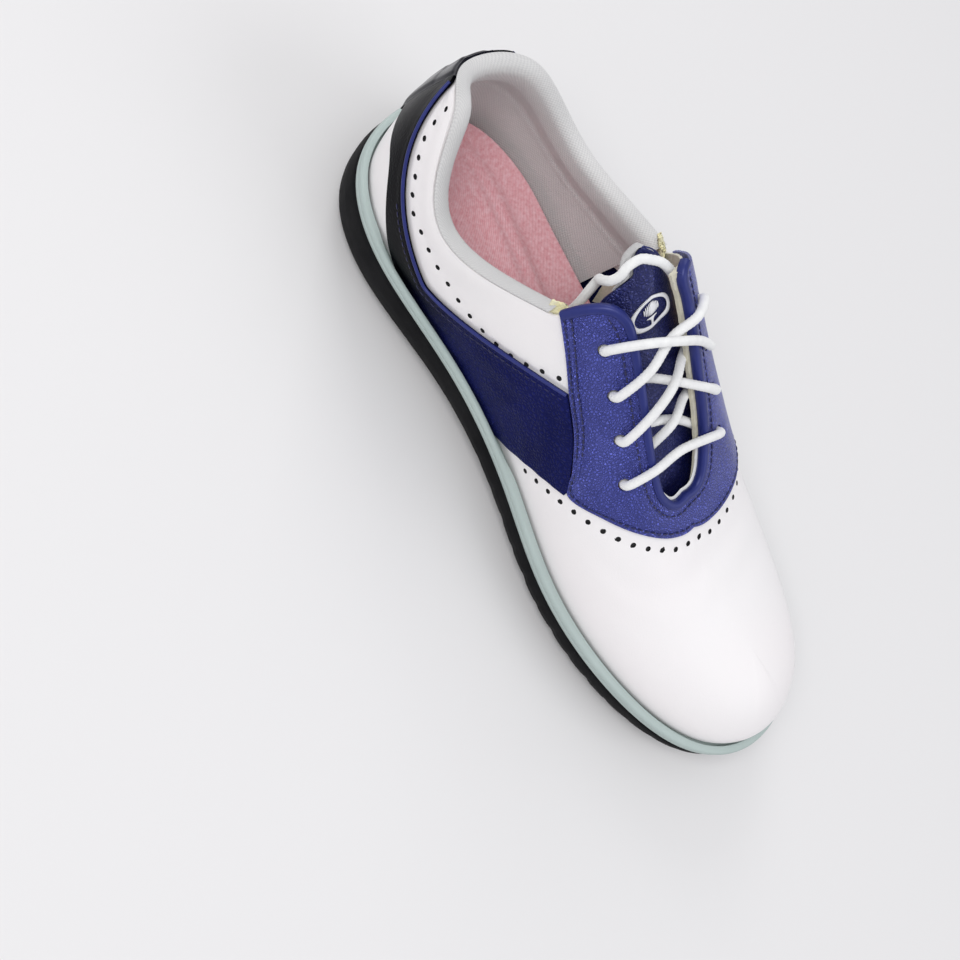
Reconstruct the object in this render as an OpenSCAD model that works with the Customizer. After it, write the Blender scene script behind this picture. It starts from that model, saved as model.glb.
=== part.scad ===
// Right golf shoe, saddle pattern, in mm.  +X runs to the toe, +Y to the inner (medial) side of
// the foot, +Z up.  The origin is under the middle of the sole, on the ground.
//
// The upper is one curved surface.  A place on it is [q, w]: q runs from 0 at the back of the heel
// to 8 at the toe tip, and w runs from -1 at the outer (lateral) sole edge, over 0 at the ridge of
// the instep, to +1 at the inner (medial) sole edge.  Every layer is a panel between two distances
// from that surface, measured along its normal; 0 is the outside of the white leather.

/* [Sizes] */
// Length of the sole
shoe_length = 272; // [260:1:285]
// Width of the sole at the ball of the foot
ball_width = 98; // [94:1:102]
// Height of the instep ridge over the sole edge, as a share of the standard last
instep = 1; // [0.96:0.01:1.04]

/* [Sole] */
// Height of the flat tread over the ground, which is the height of the lugs
tread_z = 5; // [4.5:0.1:5.5]
// Height of the midsole lip over the sole edge
lip_h = 3.8; // [3.5:0.1:4.5]
// Thickness of the midsole under the heel's edge
midsole_t = 2.4; // [2:0.1:3]
// Thickness of the midsole under the forefoot's edge
forefoot_t = 2.4; // [2:0.1:3]
// Depth from the inside of the footbed's edge to its heel centre
heel_cup = 3.5; // [2:0.5:5]

/* [Leather] */
// Thickness of the white leather
leather_t = 1.3; // [1:0.1:1.5]
// Thickness of the navy leather laid over it
overlay_t = 1.1; // [0.9:0.1:1.3]
// Thickness of the padding in the collar
foam_t = 4; // [3:0.5:4.5]

/* [Lace] */
// Diameter of the round lace
lace_d = 3.4; // [3:0.1:3.4]
// Diameter of the punched eyelets
eyelet_d = 5; // [5:0.1:5.4]

/* [Cleats] */
// Diameter of a cleat's plate
cleat_d = 20; // [18:1:22]
// Diameter of a cleat's stud
stud_d = 8; // [7:0.5:9]
// Number of legs on a cleat
cleat_legs = 8; // [6:1:9]

/* [Hidden] */

kx = shoe_length / 272;
ky = ball_width / 98;

// Sixteen stations round the sole edge: 0 heel, 1 to 7 lateral, 8 toe, 9 to 15 medial
edge_x = [-134, -123, -91, -46, -2, 36, 77, 118, 136, 124, 88, 49, 4, -44, -91, -127] * kx;
edge_y = [-7, -35, -42, -34, -36, -45, -43, -30, -3, 30, 43, 45, 35, 26, 30, 18] * ky;
edge_z = [24, 24, 24, 23, 20, 17, 18, 20, 20, 19, 17, 16, 18, 22, 24, 24];

// Nine stations along the ridge, from over the heel to behind the toe tip
ridge_x = mirrored([-104, -100, -78, -44, -8, 31, 61, 88, 100]) * kx;
ridge_y = mirrored([-4, -4, -4, -4, -6, -7, -4, -1, 1]) * ky;
ridge_z = mirrored([126, 126, 124, 111, 87, 61, 49, 47, 46]);

// Fullness of each cross-section: how far up and how far out its side bulges, and how wide its
// crown is as a share of the half width
side_up = mirrored([0.40, 0.41, 0.42, 0.48, 0.55, 0.57, 0.59, 0.61, 0.62]);
side_out = [12, 9.5, 8.5, 7.5, 7, 5, 4, 3.5, 3.5, 4.5, 5, 5.5, 6.5, 8, 7.5, 9];
crown = mirrored([0.79, 0.80, 0.77, 0.66, 0.61, 0.61, 0.66, 0.68, 0.68]);

// Height of the collar's edge as 1 - |w|, round the same stations as the sole edge
topline = [0.30, 0.54, 0.16, 0.50, 0.92, 1, 1, 1, 1, 1, 1, 1, 0.92, 0.50, 0.20, 0.43];

// Height of the tread over the ground, from heel to toe
tread = mirrored([7.5, 5, 5, 8, 7.5, 5, 5, 8.5, 13]) + [for (i = [0:15]) tread_z - 5];

// Front end of the collar and rear edge of the saddle
collar_end = 2.92;

// Gap left between neighbouring layers
gap = 0.3;

// Layer distances: overlays, linings
over_in = gap;
over_out = over_in + overlay_t;
board_in = -leather_t - gap;

// Eyelets, from the collar down to the toe: q of each pair and w of each side
eyelet_q = [3.33, 3.70, 4.07, 4.45];
eyelet_w = [-0.38, 0.25];

// Cleat centres: three under the ball's outer side and toe, two under its inner side, two heel
cleat_at = [[34, -29], [72, -27], [98, 1], [64, 27], [24, 24], [-100, -22], [-100, 14]];
cleat_lift = [0, 0, 2.6, 0, 0, 0, 0];

// Lug centres, between the cleats
lugs = [
    [8, -30], [53, -13], [50, 8], [88, -24], [84, 22], [44, 33], [10, 6], [26, -4], [78, -3],
    [-120, -18], [-121, 8], [-84, -28], [-84, 21], [-88, -4], [-116, -5], [-72, -12], [-70, 10]
];
lug_d = 11;

// Hinge line of the tongue, across the foot where it is sewn in
tongue_axis = [34, -6, 48];

// ---- Curves and the surface ----

function mirrored(t) = [for (i = [0:15]) t[i <= 8 ? i : 16 - i]];
function mix(a, b, t) = a + (b - a) * t;
function unit(v) = v / norm(v);
function ease(t) = let(c = min(max(t, 0), 1)) c * c * (3 - 2 * c);

// Smooth closed curve through a table of sixteen stations
function smooth(t, s) =
    let(i = floor(s), f = s - i, g = 1 - f)
    (g^3 * t[(i + 15) % 16] + (3 * f^3 - 6 * f^2 + 4) * t[(i + 16) % 16]
    + (3 * g^3 - 6 * g^2 + 4) * t[(i + 17) % 16] + f^3 * t[(i + 18) % 16]) / 6;

function folded(s) = s < 0 ? -s : s > 16 ? s - 16 : s > 8 ? 16 - s : s;

// Rise and run of the ridge at q
function ridge_step(q, from) =
    let(a = min(max(q - 0.25, from), 7.5), b = a + 0.5)
    [smooth(ridge_x, b) - smooth(ridge_x, a), smooth(ridge_z, b) - smooth(ridge_z, a)];

// Slope that the crown takes over from the ridge, left out over the open heel
function ridge_slope(q) = let(r = ridge_step(q, 3.6)) ease((q - 4) / 1.5) * r[1] / max(r[0], 4);

// The four control points of the cross-section at station s
function section(s) =
    let(
        q = folded(s),
        foot = [smooth(edge_x, s), smooth(edge_y, s), smooth(edge_z, s)],
        top_z = foot[2] + (smooth(ridge_z, q) - foot[2]) * instep,
        top = [smooth(ridge_x, q), smooth(ridge_y, q), top_z],
        away = [foot[0] - top[0], foot[1] - top[1], 0],
        reach = norm(away) * smooth(crown, q),
        out = unit(away)
    )
    [
        foot,
        foot + out * smooth(side_out, s) + [0, 0, smooth(side_up, q) * (top_z - foot[2])],
        top + out * reach + [0, 0, ridge_slope(q) * out[0] * reach],
        top
    ];

function along(c, v) =
    let(u = 1 - v) u^3 * c[0] + 3 * u^2 * v * c[1] + 3 * u * v^2 * c[2] + v^3 * c[3];
function rise(c, v) =
    let(u = 1 - v) u^2 * (c[1] - c[0]) + 2 * u * v * (c[2] - c[1]) + v^2 * (c[3] - c[2]);

function station(p) = p[1] > 0 ? 16 - p[0] : p[0];

// A place [q, w] on the surface, with the outward normal there: [point, normal]
function place(p) =
    let(
        s = station(p),
        v = 1 - abs(p[1]),
        c = section(s),
        low_v = min(v, 0.98),
        side = unit(cross(along(section(s + 0.02), low_v) - along(section(s - 0.02), low_v), rise(c, low_v))),
        r = ridge_step(p[0], 1),
        ridge = unit([-r[1], 0, r[0]]),
        t = ease((v - 0.88) / 0.12)
    )
    [along(c, v), unit(mix(side, ridge, t))];

// The point at distance d from the surface
function off(p, d) = let(f = place(p)) f[0] + f[1] * d;

// ---- Solids from grids of points ----

// Closed solid between two grids of points.  Where zipped, the last row is folded onto itself
module shell(outer, inner, zipped = false) {
    rows = len(outer);
    cols = len(outer[0]);
    total = rows * cols;
    last = zipped ? rows - 1 : -1;
    function at(i, j) = i * cols + (i == last ? min(j, cols - 1 - j) : j);
    function quad(a, b, c, d) = [
        if (a != b && b != c && a != c) [a, b, c],
        if (a != c && c != d && a != d) [a, c, d]
    ];
    function sheet(k, turn) = [
        for (i = [0:rows - 2], j = [0:cols - 2])
            let(a = k + at(i, j), b = k + at(i + 1, j), c = k + at(i + 1, j + 1), d = k + at(i, j + 1))
            each (turn ? quad(d, c, b, a) : quad(a, b, c, d))
    ];
    function wall(path) = [
        for (k = [0:len(path) - 2])
            each quad(path[k + 1], path[k + 1] + total, path[k] + total, path[k])
    ];
    first_row = [for (j = [0:cols - 1]) at(0, cols - 1 - j)];
    first_col = [for (i = [0:rows - 1]) at(i, 0)];
    last_col = [for (i = [0:rows - 1]) at(rows - 1 - i, cols - 1)];
    last_row = [for (j = [0:cols - 1]) at(rows - 1, j)];
    polyhedron(
        points = [for (row = outer) each row, for (row = inner) each row],
        faces = [
            each sheet(0, true), each sheet(total, false), each wall(first_row), each wall(first_col),
            each wall(last_col), if (!zipped) each wall(last_row)
        ],
        convexity = 10
    );
}

// Panel of the upper: a grid of places and the two distances of its faces
module panel(grid, low, high, zipped = false) {
    frames = [for (row = grid) [for (p = row) place(p)]];
    shell(
        [for (row = frames) [for (f = row) f[0] + f[1] * high]],
        [for (row = frames) [for (f = row) f[0] + f[1] * low]],
        zipped
    );
}

// Grid between two lines of places, with n steps from the first to the second
function between(line_a, line_b, n) =
    [for (i = [0:n]) [for (j = [0:len(line_a) - 1]) mix(line_a[j], line_b[j], i / n)]];

// Grid of a side panel between q0 and q1: lower and upper give |w| at q, side is -1 or 1
function side_grid(side, q0, q1, nq, nw, lower, upper) =
    [for (i = [0:nq])
        let(q = mix(q0, q1, i / nq))
        [for (j = [0:nw]) [q, side * mix(lower(q), upper(q), (side < 0 ? j : nw - j) / nw)]]];

// Line with its hand-chosen places joined by n steps each
function refined(line, n) =
    [for (i = [0:len(line) - 2], k = [0:n - 1]) mix(line[i], line[i + 1], k / n), line[len(line) - 1]];

// Ring solid: closed rings of points stacked from the bottom up, with flat lids across the foot
module stack(rings) {
    n = len(rings[0]);
    m = len(rings);
    half = n / 2;
    function lid(k, turn) = [
        for (i = [0:half - 1])
            let(a = k + i, b = k + i + 1, c = k + (n - i - 1) % n, d = k + (n - i) % n)
            each (i == 0 ? [turn ? [a, c, b] : [a, b, c]]
                : i == half - 1 ? [turn ? [a, d, b] : [a, b, d]]
                : turn ? [[a, d, b], [b, d, c]] : [[a, b, d], [b, c, d]])
    ];
    polyhedron(
        points = [for (r = rings) each r],
        faces = [
            each lid(0, false),
            for (k = [0:m - 2], i = [0:n - 1])
                let(a = k * n + i, b = k * n + (i + 1) % n, c = b + n, d = a + n)
                each [[a, d, c], [a, c, b]],
            each lid((m - 1) * n, true)
        ],
        convexity = 6
    );
}

// How much of the sole's flare is left towards the slimmer heel
function flare(s) = 1 - 0.15 * ease((2.2 - folded(s)) / 1.2);

// Point of the sole's outline, moved outwards by d in plan
function outline(s, d) =
    let(
        a = [smooth(edge_x, s + 0.02), smooth(edge_y, s + 0.02)],
        b = [smooth(edge_x, s - 0.02 + 16), smooth(edge_y, s - 0.02 + 16)],
        t = unit(a - b)
    )
    [smooth(edge_x, s), smooth(edge_y, s)] + [t[1], -t[0]] * d;

sole_steps = 56;
shank_w = 14;

// Ring round the sole at distance d from its edge and height z over it, z a number or a function
// of the station, drawn in towards the middle line by the share k
function ring(d, z, k = 0) = [
    for (i = [0:sole_steps - 1])
        let(
            s = 16 * i / sole_steps,
            reach = d > 0 ? d * flare(s) : d,
            p = outline(s, reach),
            far = outline((16 - s) % 16, reach),
            mid = (p + far) / 2,
            r = mix(p, mid, k),
            base = mix(smooth(edge_z, s), smooth(edge_z, (16 - s) % 16), k / 2)
        )
        [r[0], r[1], is_num(z) ? base + z : z(s, base)]
];

// Drill along the normal through a place of the upper
module drill(p, d) {
    f = place(p);
    translate(f[0]) turned(f[1]) cylinder(d = d, h = 16, center = true, $fn = 32);
}

// Children turned so that their Z axis points along v
module turned(v) {
    rotate([0, acos(v[2] / norm(v)), atan2(v[1], v[0])]) children();
}

// ---- Edges of the upper's panels ----

// q of the saddle's front edge at height v = 1 - |w|
function saddle_front(v) = 3.6 + 2.4 * v - 0.55 * v^2;

// |w| of the collar's edge
function collar(side) = function(q) 1 - smooth(topline, side < 0 ? q : (16 - q) % 16);

// |w| of the side band's upper edge: low at the waist, rising to the collar at the heel
function band_top(q) =
    1 - (0.105 + 0.15 * max(2.3 - q, 0) ^ 1.15 + 0.325 * (max(q - 2.3, 0) / 1.22) ^ 1.5);

// |w| of the side band's lower edge, which leaves the sole at the waist and rises to the heel
function band_low(q) = 1 - 0.19 * ease((2.25 - q) / 1.2);

// |w| of the quarter's upper edge: the collar, then a line under the saddle
function quarter_top(side) = function(q)
    let(t = ease((q - collar_end) / 0.12))
    mix(mix(1, collar(side)(q), 0.985), lookup(q, saddle_rear) - 0.06, t);

// Inner edge of the saddle round the throat, and its outer edge, both from the lateral collar
// corner round the front to the medial one
throat_edge = [
    [3.10, -0.29], [3.30, -0.255], [3.62, -0.25], [3.95, -0.24], [4.22, -0.23], [4.48, -0.21],
    [4.74, -0.18], [4.90, -0.13], [4.98, -0.08], [5.00, -0.03], [4.98, 0.02], [4.90, 0.07],
    [4.74, 0.11], [4.48, 0.135], [4.22, 0.14], [3.95, 0.13], [3.62, 0.115], [3.30, 0.09], [3.04, 0.05]
];
saddle_rear = [[2.94, 0.49], [3.20, 0.52], [3.52, 0.56], [3.85, 0.585], [4.12, 0.63]];
front_heights = [0.32, 0.49, 0.68, 0.86];
saddle_edge = [
    for (p = saddle_rear) [p[0], -p[1]],
    for (v = front_heights) [saddle_front(v), v - 1],
    [saddle_front(1), 0],
    for (i = [3:-1:0]) [saddle_front(front_heights[i]), 1 - front_heights[i]],
    for (i = [4:-1:0]) saddle_rear[i]
];

module eyelets(side, d) {
    for (q = eyelet_q) drill([q, eyelet_w[side]], d);
}

// ---- Sole ----

// Underside of the midsole, below the sole edge
function under(s) = mix(midsole_t, forefoot_t, ease((folded(s) - 2.4) / 2.2));

module outsole() {
    color("#1b1b1d")
    difference() {
        union() {
            stack([
                ring(0.5, function(s, base) smooth(tread, s)),
                ring(3.4, function(s, base) smooth(tread, s) + 1.4),
                ring(4.6, function(s, base) mix(smooth(tread, s), base - under(s), 0.55)),
                ring(4.2, function(s, base) base - under(s) - 1),
                ring(3.2, function(s, base) base - under(s) - 0.2)
            ]);
            for (p = lugs) translate([p[0] * kx, p[1] * ky, 0])
                cylinder(d = lug_d, h = tread_z + 2.5, $fn = 32);
        }
        for (i = [0:6]) cleat_place(i) {
            translate([0, 0, tread_z - 1]) cylinder(d = socket_d + 0.1, h = socket_h + 1.2, $fn = 48);
            translate([0, 0, -1]) cylinder(d = cleat_d + 1.6, h = tread_z + 1, $fn = 48);
        }
    }
}

module midsole() {
    // the lip stands off further where the side bands reach down to the sole
    function snug(s) = 1.5 + 1.4 * ease((folded(s) - 1.6) / 0.4) * ease((4.1 - folded(s)) / 0.4);
    function inside(z) = [
        for (i = [0:sole_steps - 1])
            let(s = 16 * i / sole_steps, p = outline(s, snug(s)))
            [p[0], p[1], smooth(edge_z, s) + z]
    ];
    color("#b9c8c4")
    stack([
        ring(3.2, function(s, base) base - under(s)), ring(4.2, function(s, base) base - under(s) + 0.8),
        ring(4.8, 0.6), ring(4.8, lip_h - 1.5),
        ring(4.2, lip_h - 0.2), inside(lip_h), inside(-gap)
    ]);
}

// Strip along the middle of the sole's top under the arch, from low to high over the sole edge,
// widened all round by extra
module arch_strip(low, high, extra) {
    function bed(q, t, z) =
        let(a = outline(q, 0), b = outline(16 - q, 0), side = unit(b - a))
        [
            each mix(a, b, 0.5) + side * (shank_w + 2 * extra) * (t - 0.5),
            mix(smooth(edge_z, q), smooth(edge_z, 16 - q), 0.5) + z
        ];
    function sheet(z) = [
        for (q = [2.5:0.15:3.85])
            let(end = q < 2.6 ? -0.02 : q > 3.8 ? 0.02 : 0)
            [for (t = [0, 1]) bed(q + end * extra / gap, t, z)]
    ];
    shell(sheet(high), sheet(low));
}

// Felt that fills the hollow between the turned-in edges of the upper, slotted for the shank
module bottom_filler() {
    color("#8d8a80")
    difference() {
        stack([ring(-9, 0.1), ring(-9, 1.4)]);
        arch_strip(-1, 3, gap);
    }
}

// Steel strip that stiffens the arch
module shank() {
    color("#9aa0a6")
    arch_strip(0.25, 1.3, 0);
}

module lasting_board() {
    color("#c9b48c")
    stack([ring(-5.2, 1.7), ring(-5.2, 2.9)]);
}

module footbed() {
    // the edge stands up round the heel and under the arch
    function wall_h(s) =
        7 + heel_cup * ease((3.2 - folded(s)) / 1.4)
        + (s > 8 ? 3 * ease((folded(s) - 2.2) / 0.8) * ease((4.9 - folded(s)) / 0.9) : 0);
    function level(k) = function(s, base) base + mix(wall_h(s), 6.6, k);
    color("#c48f8f")
    stack([
        ring(-6.4, 3.3), ring(-5.4, 5), ring(-5.2, function(s, base) base + wall_h(s) - 0.6),
        ring(-6.2, function(s, base) base + wall_h(s)), ring(-6.2, level(0.75), 0.25),
        ring(-6.2, level(1), 0.55)
    ]);
}

// ---- Cleats ----

socket_d = 13;
socket_h = 5.2;

module cleat_place(i) {
    translate([cleat_at[i][0] * kx, cleat_at[i][1] * ky, cleat_lift[i]]) children();
}

// Threaded receptacles moulded into the outsole
module cleat_sockets() {
    color("#4a4c50")
    for (i = [0:6]) cleat_place(i)
    difference() {
        translate([0, 0, tread_z + 0.1]) cylinder(d = socket_d, h = socket_h, $fn = 48);
        translate([0, 0, tread_z - 1]) cylinder(d = stud_d + 0.6, h = socket_h, $fn = 48);
    }
}

module cleat(i) {
    tip_z = 0.2;
    plate_z = tread_z - 2.2;
    color("#2c3138")
    cleat_place(i) {
        translate([0, 0, plate_z + 1.6]) cylinder(d = stud_d, h = 4.2, $fn = 48);
        translate([0, 0, plate_z]) cylinder(d = cleat_d, h = 1.8, $fn = 64);
        translate([0, 0, plate_z - 1]) cylinder(d1 = 6, d2 = 9, h = 1.2, $fn = 48);
        for (k = [0:cleat_legs - 1]) rotate(k * 360 / cleat_legs)
            translate([cleat_d / 2 - 2.4, 0, tip_z])
                cylinder(d1 = 2.4, d2 = 4.4, h = plate_z - tip_z + 0.5, $fn = 24);
    }
}
module cleat_1() { cleat(0); }
module cleat_2() { cleat(1); }
module cleat_3() { cleat(2); }
module cleat_4() { cleat(3); }
module cleat_5() { cleat(4); }
module cleat_6() { cleat(5); }
module cleat_7() { cleat(6); }

// ---- Front of the upper ----

// Rows of places from a rear line to the toe, the same beyond q = 6 in every layer
function toe_grid(rear, rows, cols) = [
    for (i = [0:rows - 1])
        [for (j = [0:cols]) let(w = 2 * j / cols - 1) [mix(rear(1 - abs(w)), 6, i / rows), w]],
    for (q = [6:0.25:8]) [for (j = [0:cols]) [q, 2 * j / cols - 1]]
];

module vamp() {
    color("#f3efee")
    panel(toe_grid(function(v) saddle_front(v) - 0.17, 4, 28), -leather_t, 0, true);
}

// Stiff cap that holds the toe's shape, between the vamp and its lining
module toe_puff() {
    color("#d8d2c4")
    panel([for (q = [6.5:0.25:8]) [for (j = [0:28]) [q, 2 * j / 28 - 1]]], board_in - 0.7, board_in, true);
}

module vamp_lining() {
    color("#b4b6b8")
    panel(toe_grid(function(v) 3.7 + 1.55 * v, 5, 28), board_in - 1.8, board_in - 1, true);
}

// Navy saddle: the two lace facings, joined in front of the throat
module saddle() {
    color("#2b2f86")
    difference() {
        panel(between(refined(throat_edge, 2), refined(saddle_edge, 2), 6), over_in, over_out);
        eyelets(0, eyelet_d);
        eyelets(1, eyelet_d);
    }
}

// Smooth binding folded round the throat's edge
module throat_binding() {
    line = refined(throat_edge, 2);
    frames = [for (p = line) place(p)];
    // in from the edge: the direction across the binding, towards the middle of the throat
    function inward(i) =
        let(a = line[max(i - 1, 0)], b = line[min(i + 1, len(line) - 1)])
        unit(cross(frames[i][1], off(b, 0) - off(a, 0)));
    function bead(i, x, z) = frames[i][0] + inward(i) * x + frames[i][1] * z;
    color("#23276b")
    shell(
        [for (x = [1.3, 0.2]) [for (i = [0:len(line) - 1]) bead(i, x, over_out + 0.1)]],
        [for (x = [1.3, 0.2]) [for (i = [0:len(line) - 1]) bead(i, x, -0.9)]]
    );
}

// Cream lining of a lace facing: thick along the throat, thin where the quarter and vamp cover it
module facing_lining(side) {
    sign = side == 0 ? -1 : 1;
    lower = [[2.96, 0.50], [3.00, 0.62], [3.10, 0.74], [3.30, 0.86], [3.60, 0.96]];
    outer = refined([for (p = lower) [p[0], sign * p[1]]], 2);
    inner = [for (i = [0:8]) throat_edge[side == 0 ? i : 18 - i]];
    steps = 8;
    frames = [for (row = between(outer, inner, steps)) [for (p = row) place(p)]];
    function face(i) = mix(board_in, -0.1, ease((i / steps - 0.7) / 0.15));
    function sheet(d) = [for (i = [0:steps]) [for (f = frames[i]) f[0] + f[1] * (is_num(d) ? d : d(i))]];
    function flipped(g) = side == 0 ? [for (row = g) [for (j = [len(row) - 1:-1:0]) row[j]]] : g;
    color("#e4dcb8")
    difference() {
        shell(flipped(sheet(function(i) face(i))), flipped(sheet(board_in - 0.9)));
        eyelets(side, eyelet_d);
    }
}
module facing_lining_lateral() { facing_lining(0); }
module facing_lining_medial() { facing_lining(1); }

// ---- Sides and heel ----

// Navy band along the waist, narrowing to the rear and sweeping up round the heel
module side_band(side) {
    stops = [for (i = [0:20]) mix(0.42, 3.52, i / 20)];
    tail_upper = [[3.66, 0.580], [3.88, 0.598], [4.10, 0.637], [4.27, 0.682]];
    tail_lower = [[3.60, 0.99], [3.83, 0.90], [4.06, 0.80], [4.28, 0.70]];
    // the band stays below the collar's edge at the heel
    function top(q) = max(band_top(q), collar(side)(q) + 0.004);
    upper = [for (q = stops) [q, side * top(q)], for (p = tail_upper) [p[0], side * p[1]]];
    lower = [for (q = stops) [q, side * band_low(q)], for (p = tail_lower) [p[0], side * p[1]]];
    color("#1d2159")
    panel(
        side < 0 ? turned_grid(between(lower, upper, 4)) : turned_grid(between(upper, lower, 4)),
        over_in, over_out
    );
}
function turned_grid(g) = [for (j = [0:len(g[0]) - 1]) [for (row = g) row[j]]];
module side_band_lateral() { side_band(-1); }
module side_band_medial() { side_band(1); }

// How far the white panels run under the band
under_band = 0.033;

// White quarter between the band and the collar, running a little under the band and the saddle
module quarter(side) {
    low = function(q) max(band_top(q) + under_band, quarter_top(side)(q) + 0.006);
    color("#f3efee")
    panel(side_grid(side, 0.36, 3.7, 30, 5, low, quarter_top(side)), -leather_t, 0);
}
module quarter_lateral() { quarter(-1); }
module quarter_medial() { quarter(1); }

module heel_panel(side) {
    color("#f3efee")
    panel(
        side_grid(side, 0.02, 2.2, 18, 3, function(q) 1, function(q) band_low(q) - under_band),
        -leather_t, 0
    );
}
module heel_panel_lateral() { heel_panel(-1); }
module heel_panel_medial() { heel_panel(1); }

// Grid round the back of the heel out to q on each side, from |w| = lower to |w| = upper
function heel_grid(q, steps, cols, lower, upper) = [
    for (i = [-steps:steps])
        let(a = abs(i) / steps * q, side = i < 0 ? 1 : -1)
        [for (j = [0:cols]) [a, side * mix(lower(a, side), upper(a, side), j / cols)]]
];

tab_t = 1.8;

// Glossy moulded tab up the back of the heel
module heel_tab() {
    color("#14141c")
    panel(
        heel_grid(0.40, 4, 6, function(q, side) 0.84, function(q, side) collar(side)(q)),
        over_in, over_in + tab_t
    );
}

// Stiff cup that holds the heel's shape
module heel_counter() {
    color("#cfc6b2")
    panel(
        heel_grid(2.4, 12, 4, function(q, side) 0.98, function(q, side) mix(1, collar(side)(q), 0.60)),
        board_in - 0.9, board_in
    );
}

// The collar's padding and lining run round the heel between its two front corners.  Their
// profiles are [share of the collar's height, distance from the surface].
foam_face = [[0.66, 0.5], [0.75, 2.2], [0.84, 3.6], [0.93, 3.6], [0.985, 2.2]];
lining_back = [
    [0.998, -1.0], [1.010, -2.2], [1.000, -4.2], [0.950, -5.5], [0.840, -5.6], [0.740, -4.2],
    [0.620, -3.0], [0.300, -2.9], [0.060, -2.9]
];
lining_face = [
    [1.020, -0.3], [1.045, -1.8], [1.035, -4.6], [0.975, -6.3], [0.835, -6.4], [0.725, -5.0],
    [0.610, -3.8], [0.300, -3.7], [0.060, -3.7]
];
collar_steps = 14;

// Rows of points round the collar for a profile of [share, distance]
function collar_rows(profile) = [
    for (i = [-collar_steps:collar_steps])
        let(q = abs(i) / collar_steps * (collar_end - 0.04), side = i < 0 ? 1 : -1, top = collar(side)(q))
        [for (p = profile) off([q, side * mix(1, top, p[0])], p[1])]
];

module collar_foam() {
    color("#e8e0b0")
    shell(
        collar_rows([for (p = foam_face) [p[0], board_in]]),
        collar_rows([for (p = foam_face) [p[0], board_in - p[1] * foam_t / 4]])
    );
}

module collar_lining() {
    color("#b9bbbd")
    shell(collar_rows(lining_face), collar_rows(lining_back));
}

// ---- Tongue ----

tongue_out = -6.5;
tongue_t = 1.1;
tongue_pad = 3;

// Edges of the tongue from its rounded top down to where it is sewn in, as q and the w of its outer
// and its inner side.  Below its neck it widens under the outer facing
tongue_edge = [
    [2.76, -0.17, -0.07], [2.80, -0.22, -0.02], [2.88, -0.25, 0.03], [2.97, -0.27, 0.075],
    [3.02, -0.36, 0.10], [3.07, -0.395, 0.13], [3.18, -0.40, 0.20], [3.35, -0.40, 0.28],
    [3.70, -0.40, 0.32], [4.10, -0.39, 0.33], [4.50, -0.37, 0.31], [4.85, -0.33, 0.27], [5.10, -0.28, 0.23]
];
function tongue_grid(cols, reach) =
    [for (p = tongue_edge) [for (j = [0:cols]) [p[0], mix(max(p[1], -reach), p[2], j / cols)]]];

module tongue_leather() {
    color("#20245f")
    panel(tongue_grid(8, 1), tongue_out - tongue_t, tongue_out);
}

module tongue_lining() {
    color("#a9abad")
    // the padding stops short of the leather's outer edge
    panel(tongue_grid(8, 0.31), tongue_out - tongue_t - 0.2 - tongue_pad, tongue_out - tongue_t - 0.2);
}

// Round embroidered badge
module tongue_patch() {
    rows = 6;
    centre = [3.34, -0.10];
    half_q = 0.18;
    half_w = 0.12;
    color("#f4f4f4")
    panel(
        [for (i = [0:rows]) let(a = mix(-78, 78, i / rows))
            [for (j = [-3:3]) centre + [half_q * sin(a), half_w * cos(a) * j / 3]]],
        tongue_out + 0.1, tongue_out + 0.6
    );
}

// ---- Lace ----

// Distances of the lace's centre line over the facings and under them
lace_over = over_out + lace_d / 2 + 0.15;
lace_under = board_in - 0.9 - lace_d / 2 - 0.25;

// Closed tube through a list of points.  first turns its first ring square to another tube's end
module tube(path, d, first = undef, sides = 8) {
    n = len(path);
    ahead = [
        for (i = [0:n - 1])
            i == 0 && !is_undef(first) ? first : unit(path[min(i + 1, n - 1)] - path[max(i - 1, 0)])
    ];
    start = unit(cross(ahead[0], abs(ahead[0][2]) < 0.8 ? [0, 0, 1] : [1, 0, 0]));
    side_dir = [
        for (i = 0, u = start; i < n; i = i + 1, u = i < n ? unit(u - ahead[i] * (u * ahead[i])) : u) u
    ];
    polyhedron(
        points = [
            for (i = [0:n - 1], k = [0:sides - 1])
                let(a = 360 * k / sides)
                path[i] + (side_dir[i] * cos(a) + cross(ahead[i], side_dir[i]) * sin(a)) * d / 2
        ],
        faces = [
            [for (k = [0:sides - 1]) k],
            for (i = [0:n - 2], k = [0:sides - 1])
                let(a = i * sides + k, b = i * sides + (k + 1) % sides)
                each [[a, a + sides, b], [b, a + sides, b + sides]],
            [for (k = [sides - 1:-1:0]) (n - 1) * sides + k]
        ],
        convexity = 20
    );
}

// Turn of the lace through eyelet i of a side, from outside to inside.  back turns the inner half
// away from the throat.
function turn(side, i, back = false) =
    let(
        middle = (lace_over + lace_under) / 2,
        r = (lace_over - lace_under) / 2,
        to_throat = side == 0 ? 1 : -1,
        per_mm = 1 / 85
    )
    [for (a = [90, 30, -30, -90])
        let(x = r * (cos(30) - cos(a)) * per_mm * to_throat * (back && a < 0 ? -1 : 1))
        off([eyelet_q[i], eyelet_w[side] + x], middle + r * sin(a))];
function reversed(t) = [for (i = [len(t) - 1:-1:0]) t[i]];
function strand(t) = [for (p = t) off([p[0], p[1]], p[2])];
function last(t) = t[len(t) - 1];
function tip_dir(t) = unit(last(t) - t[len(t) - 2]);

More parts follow.
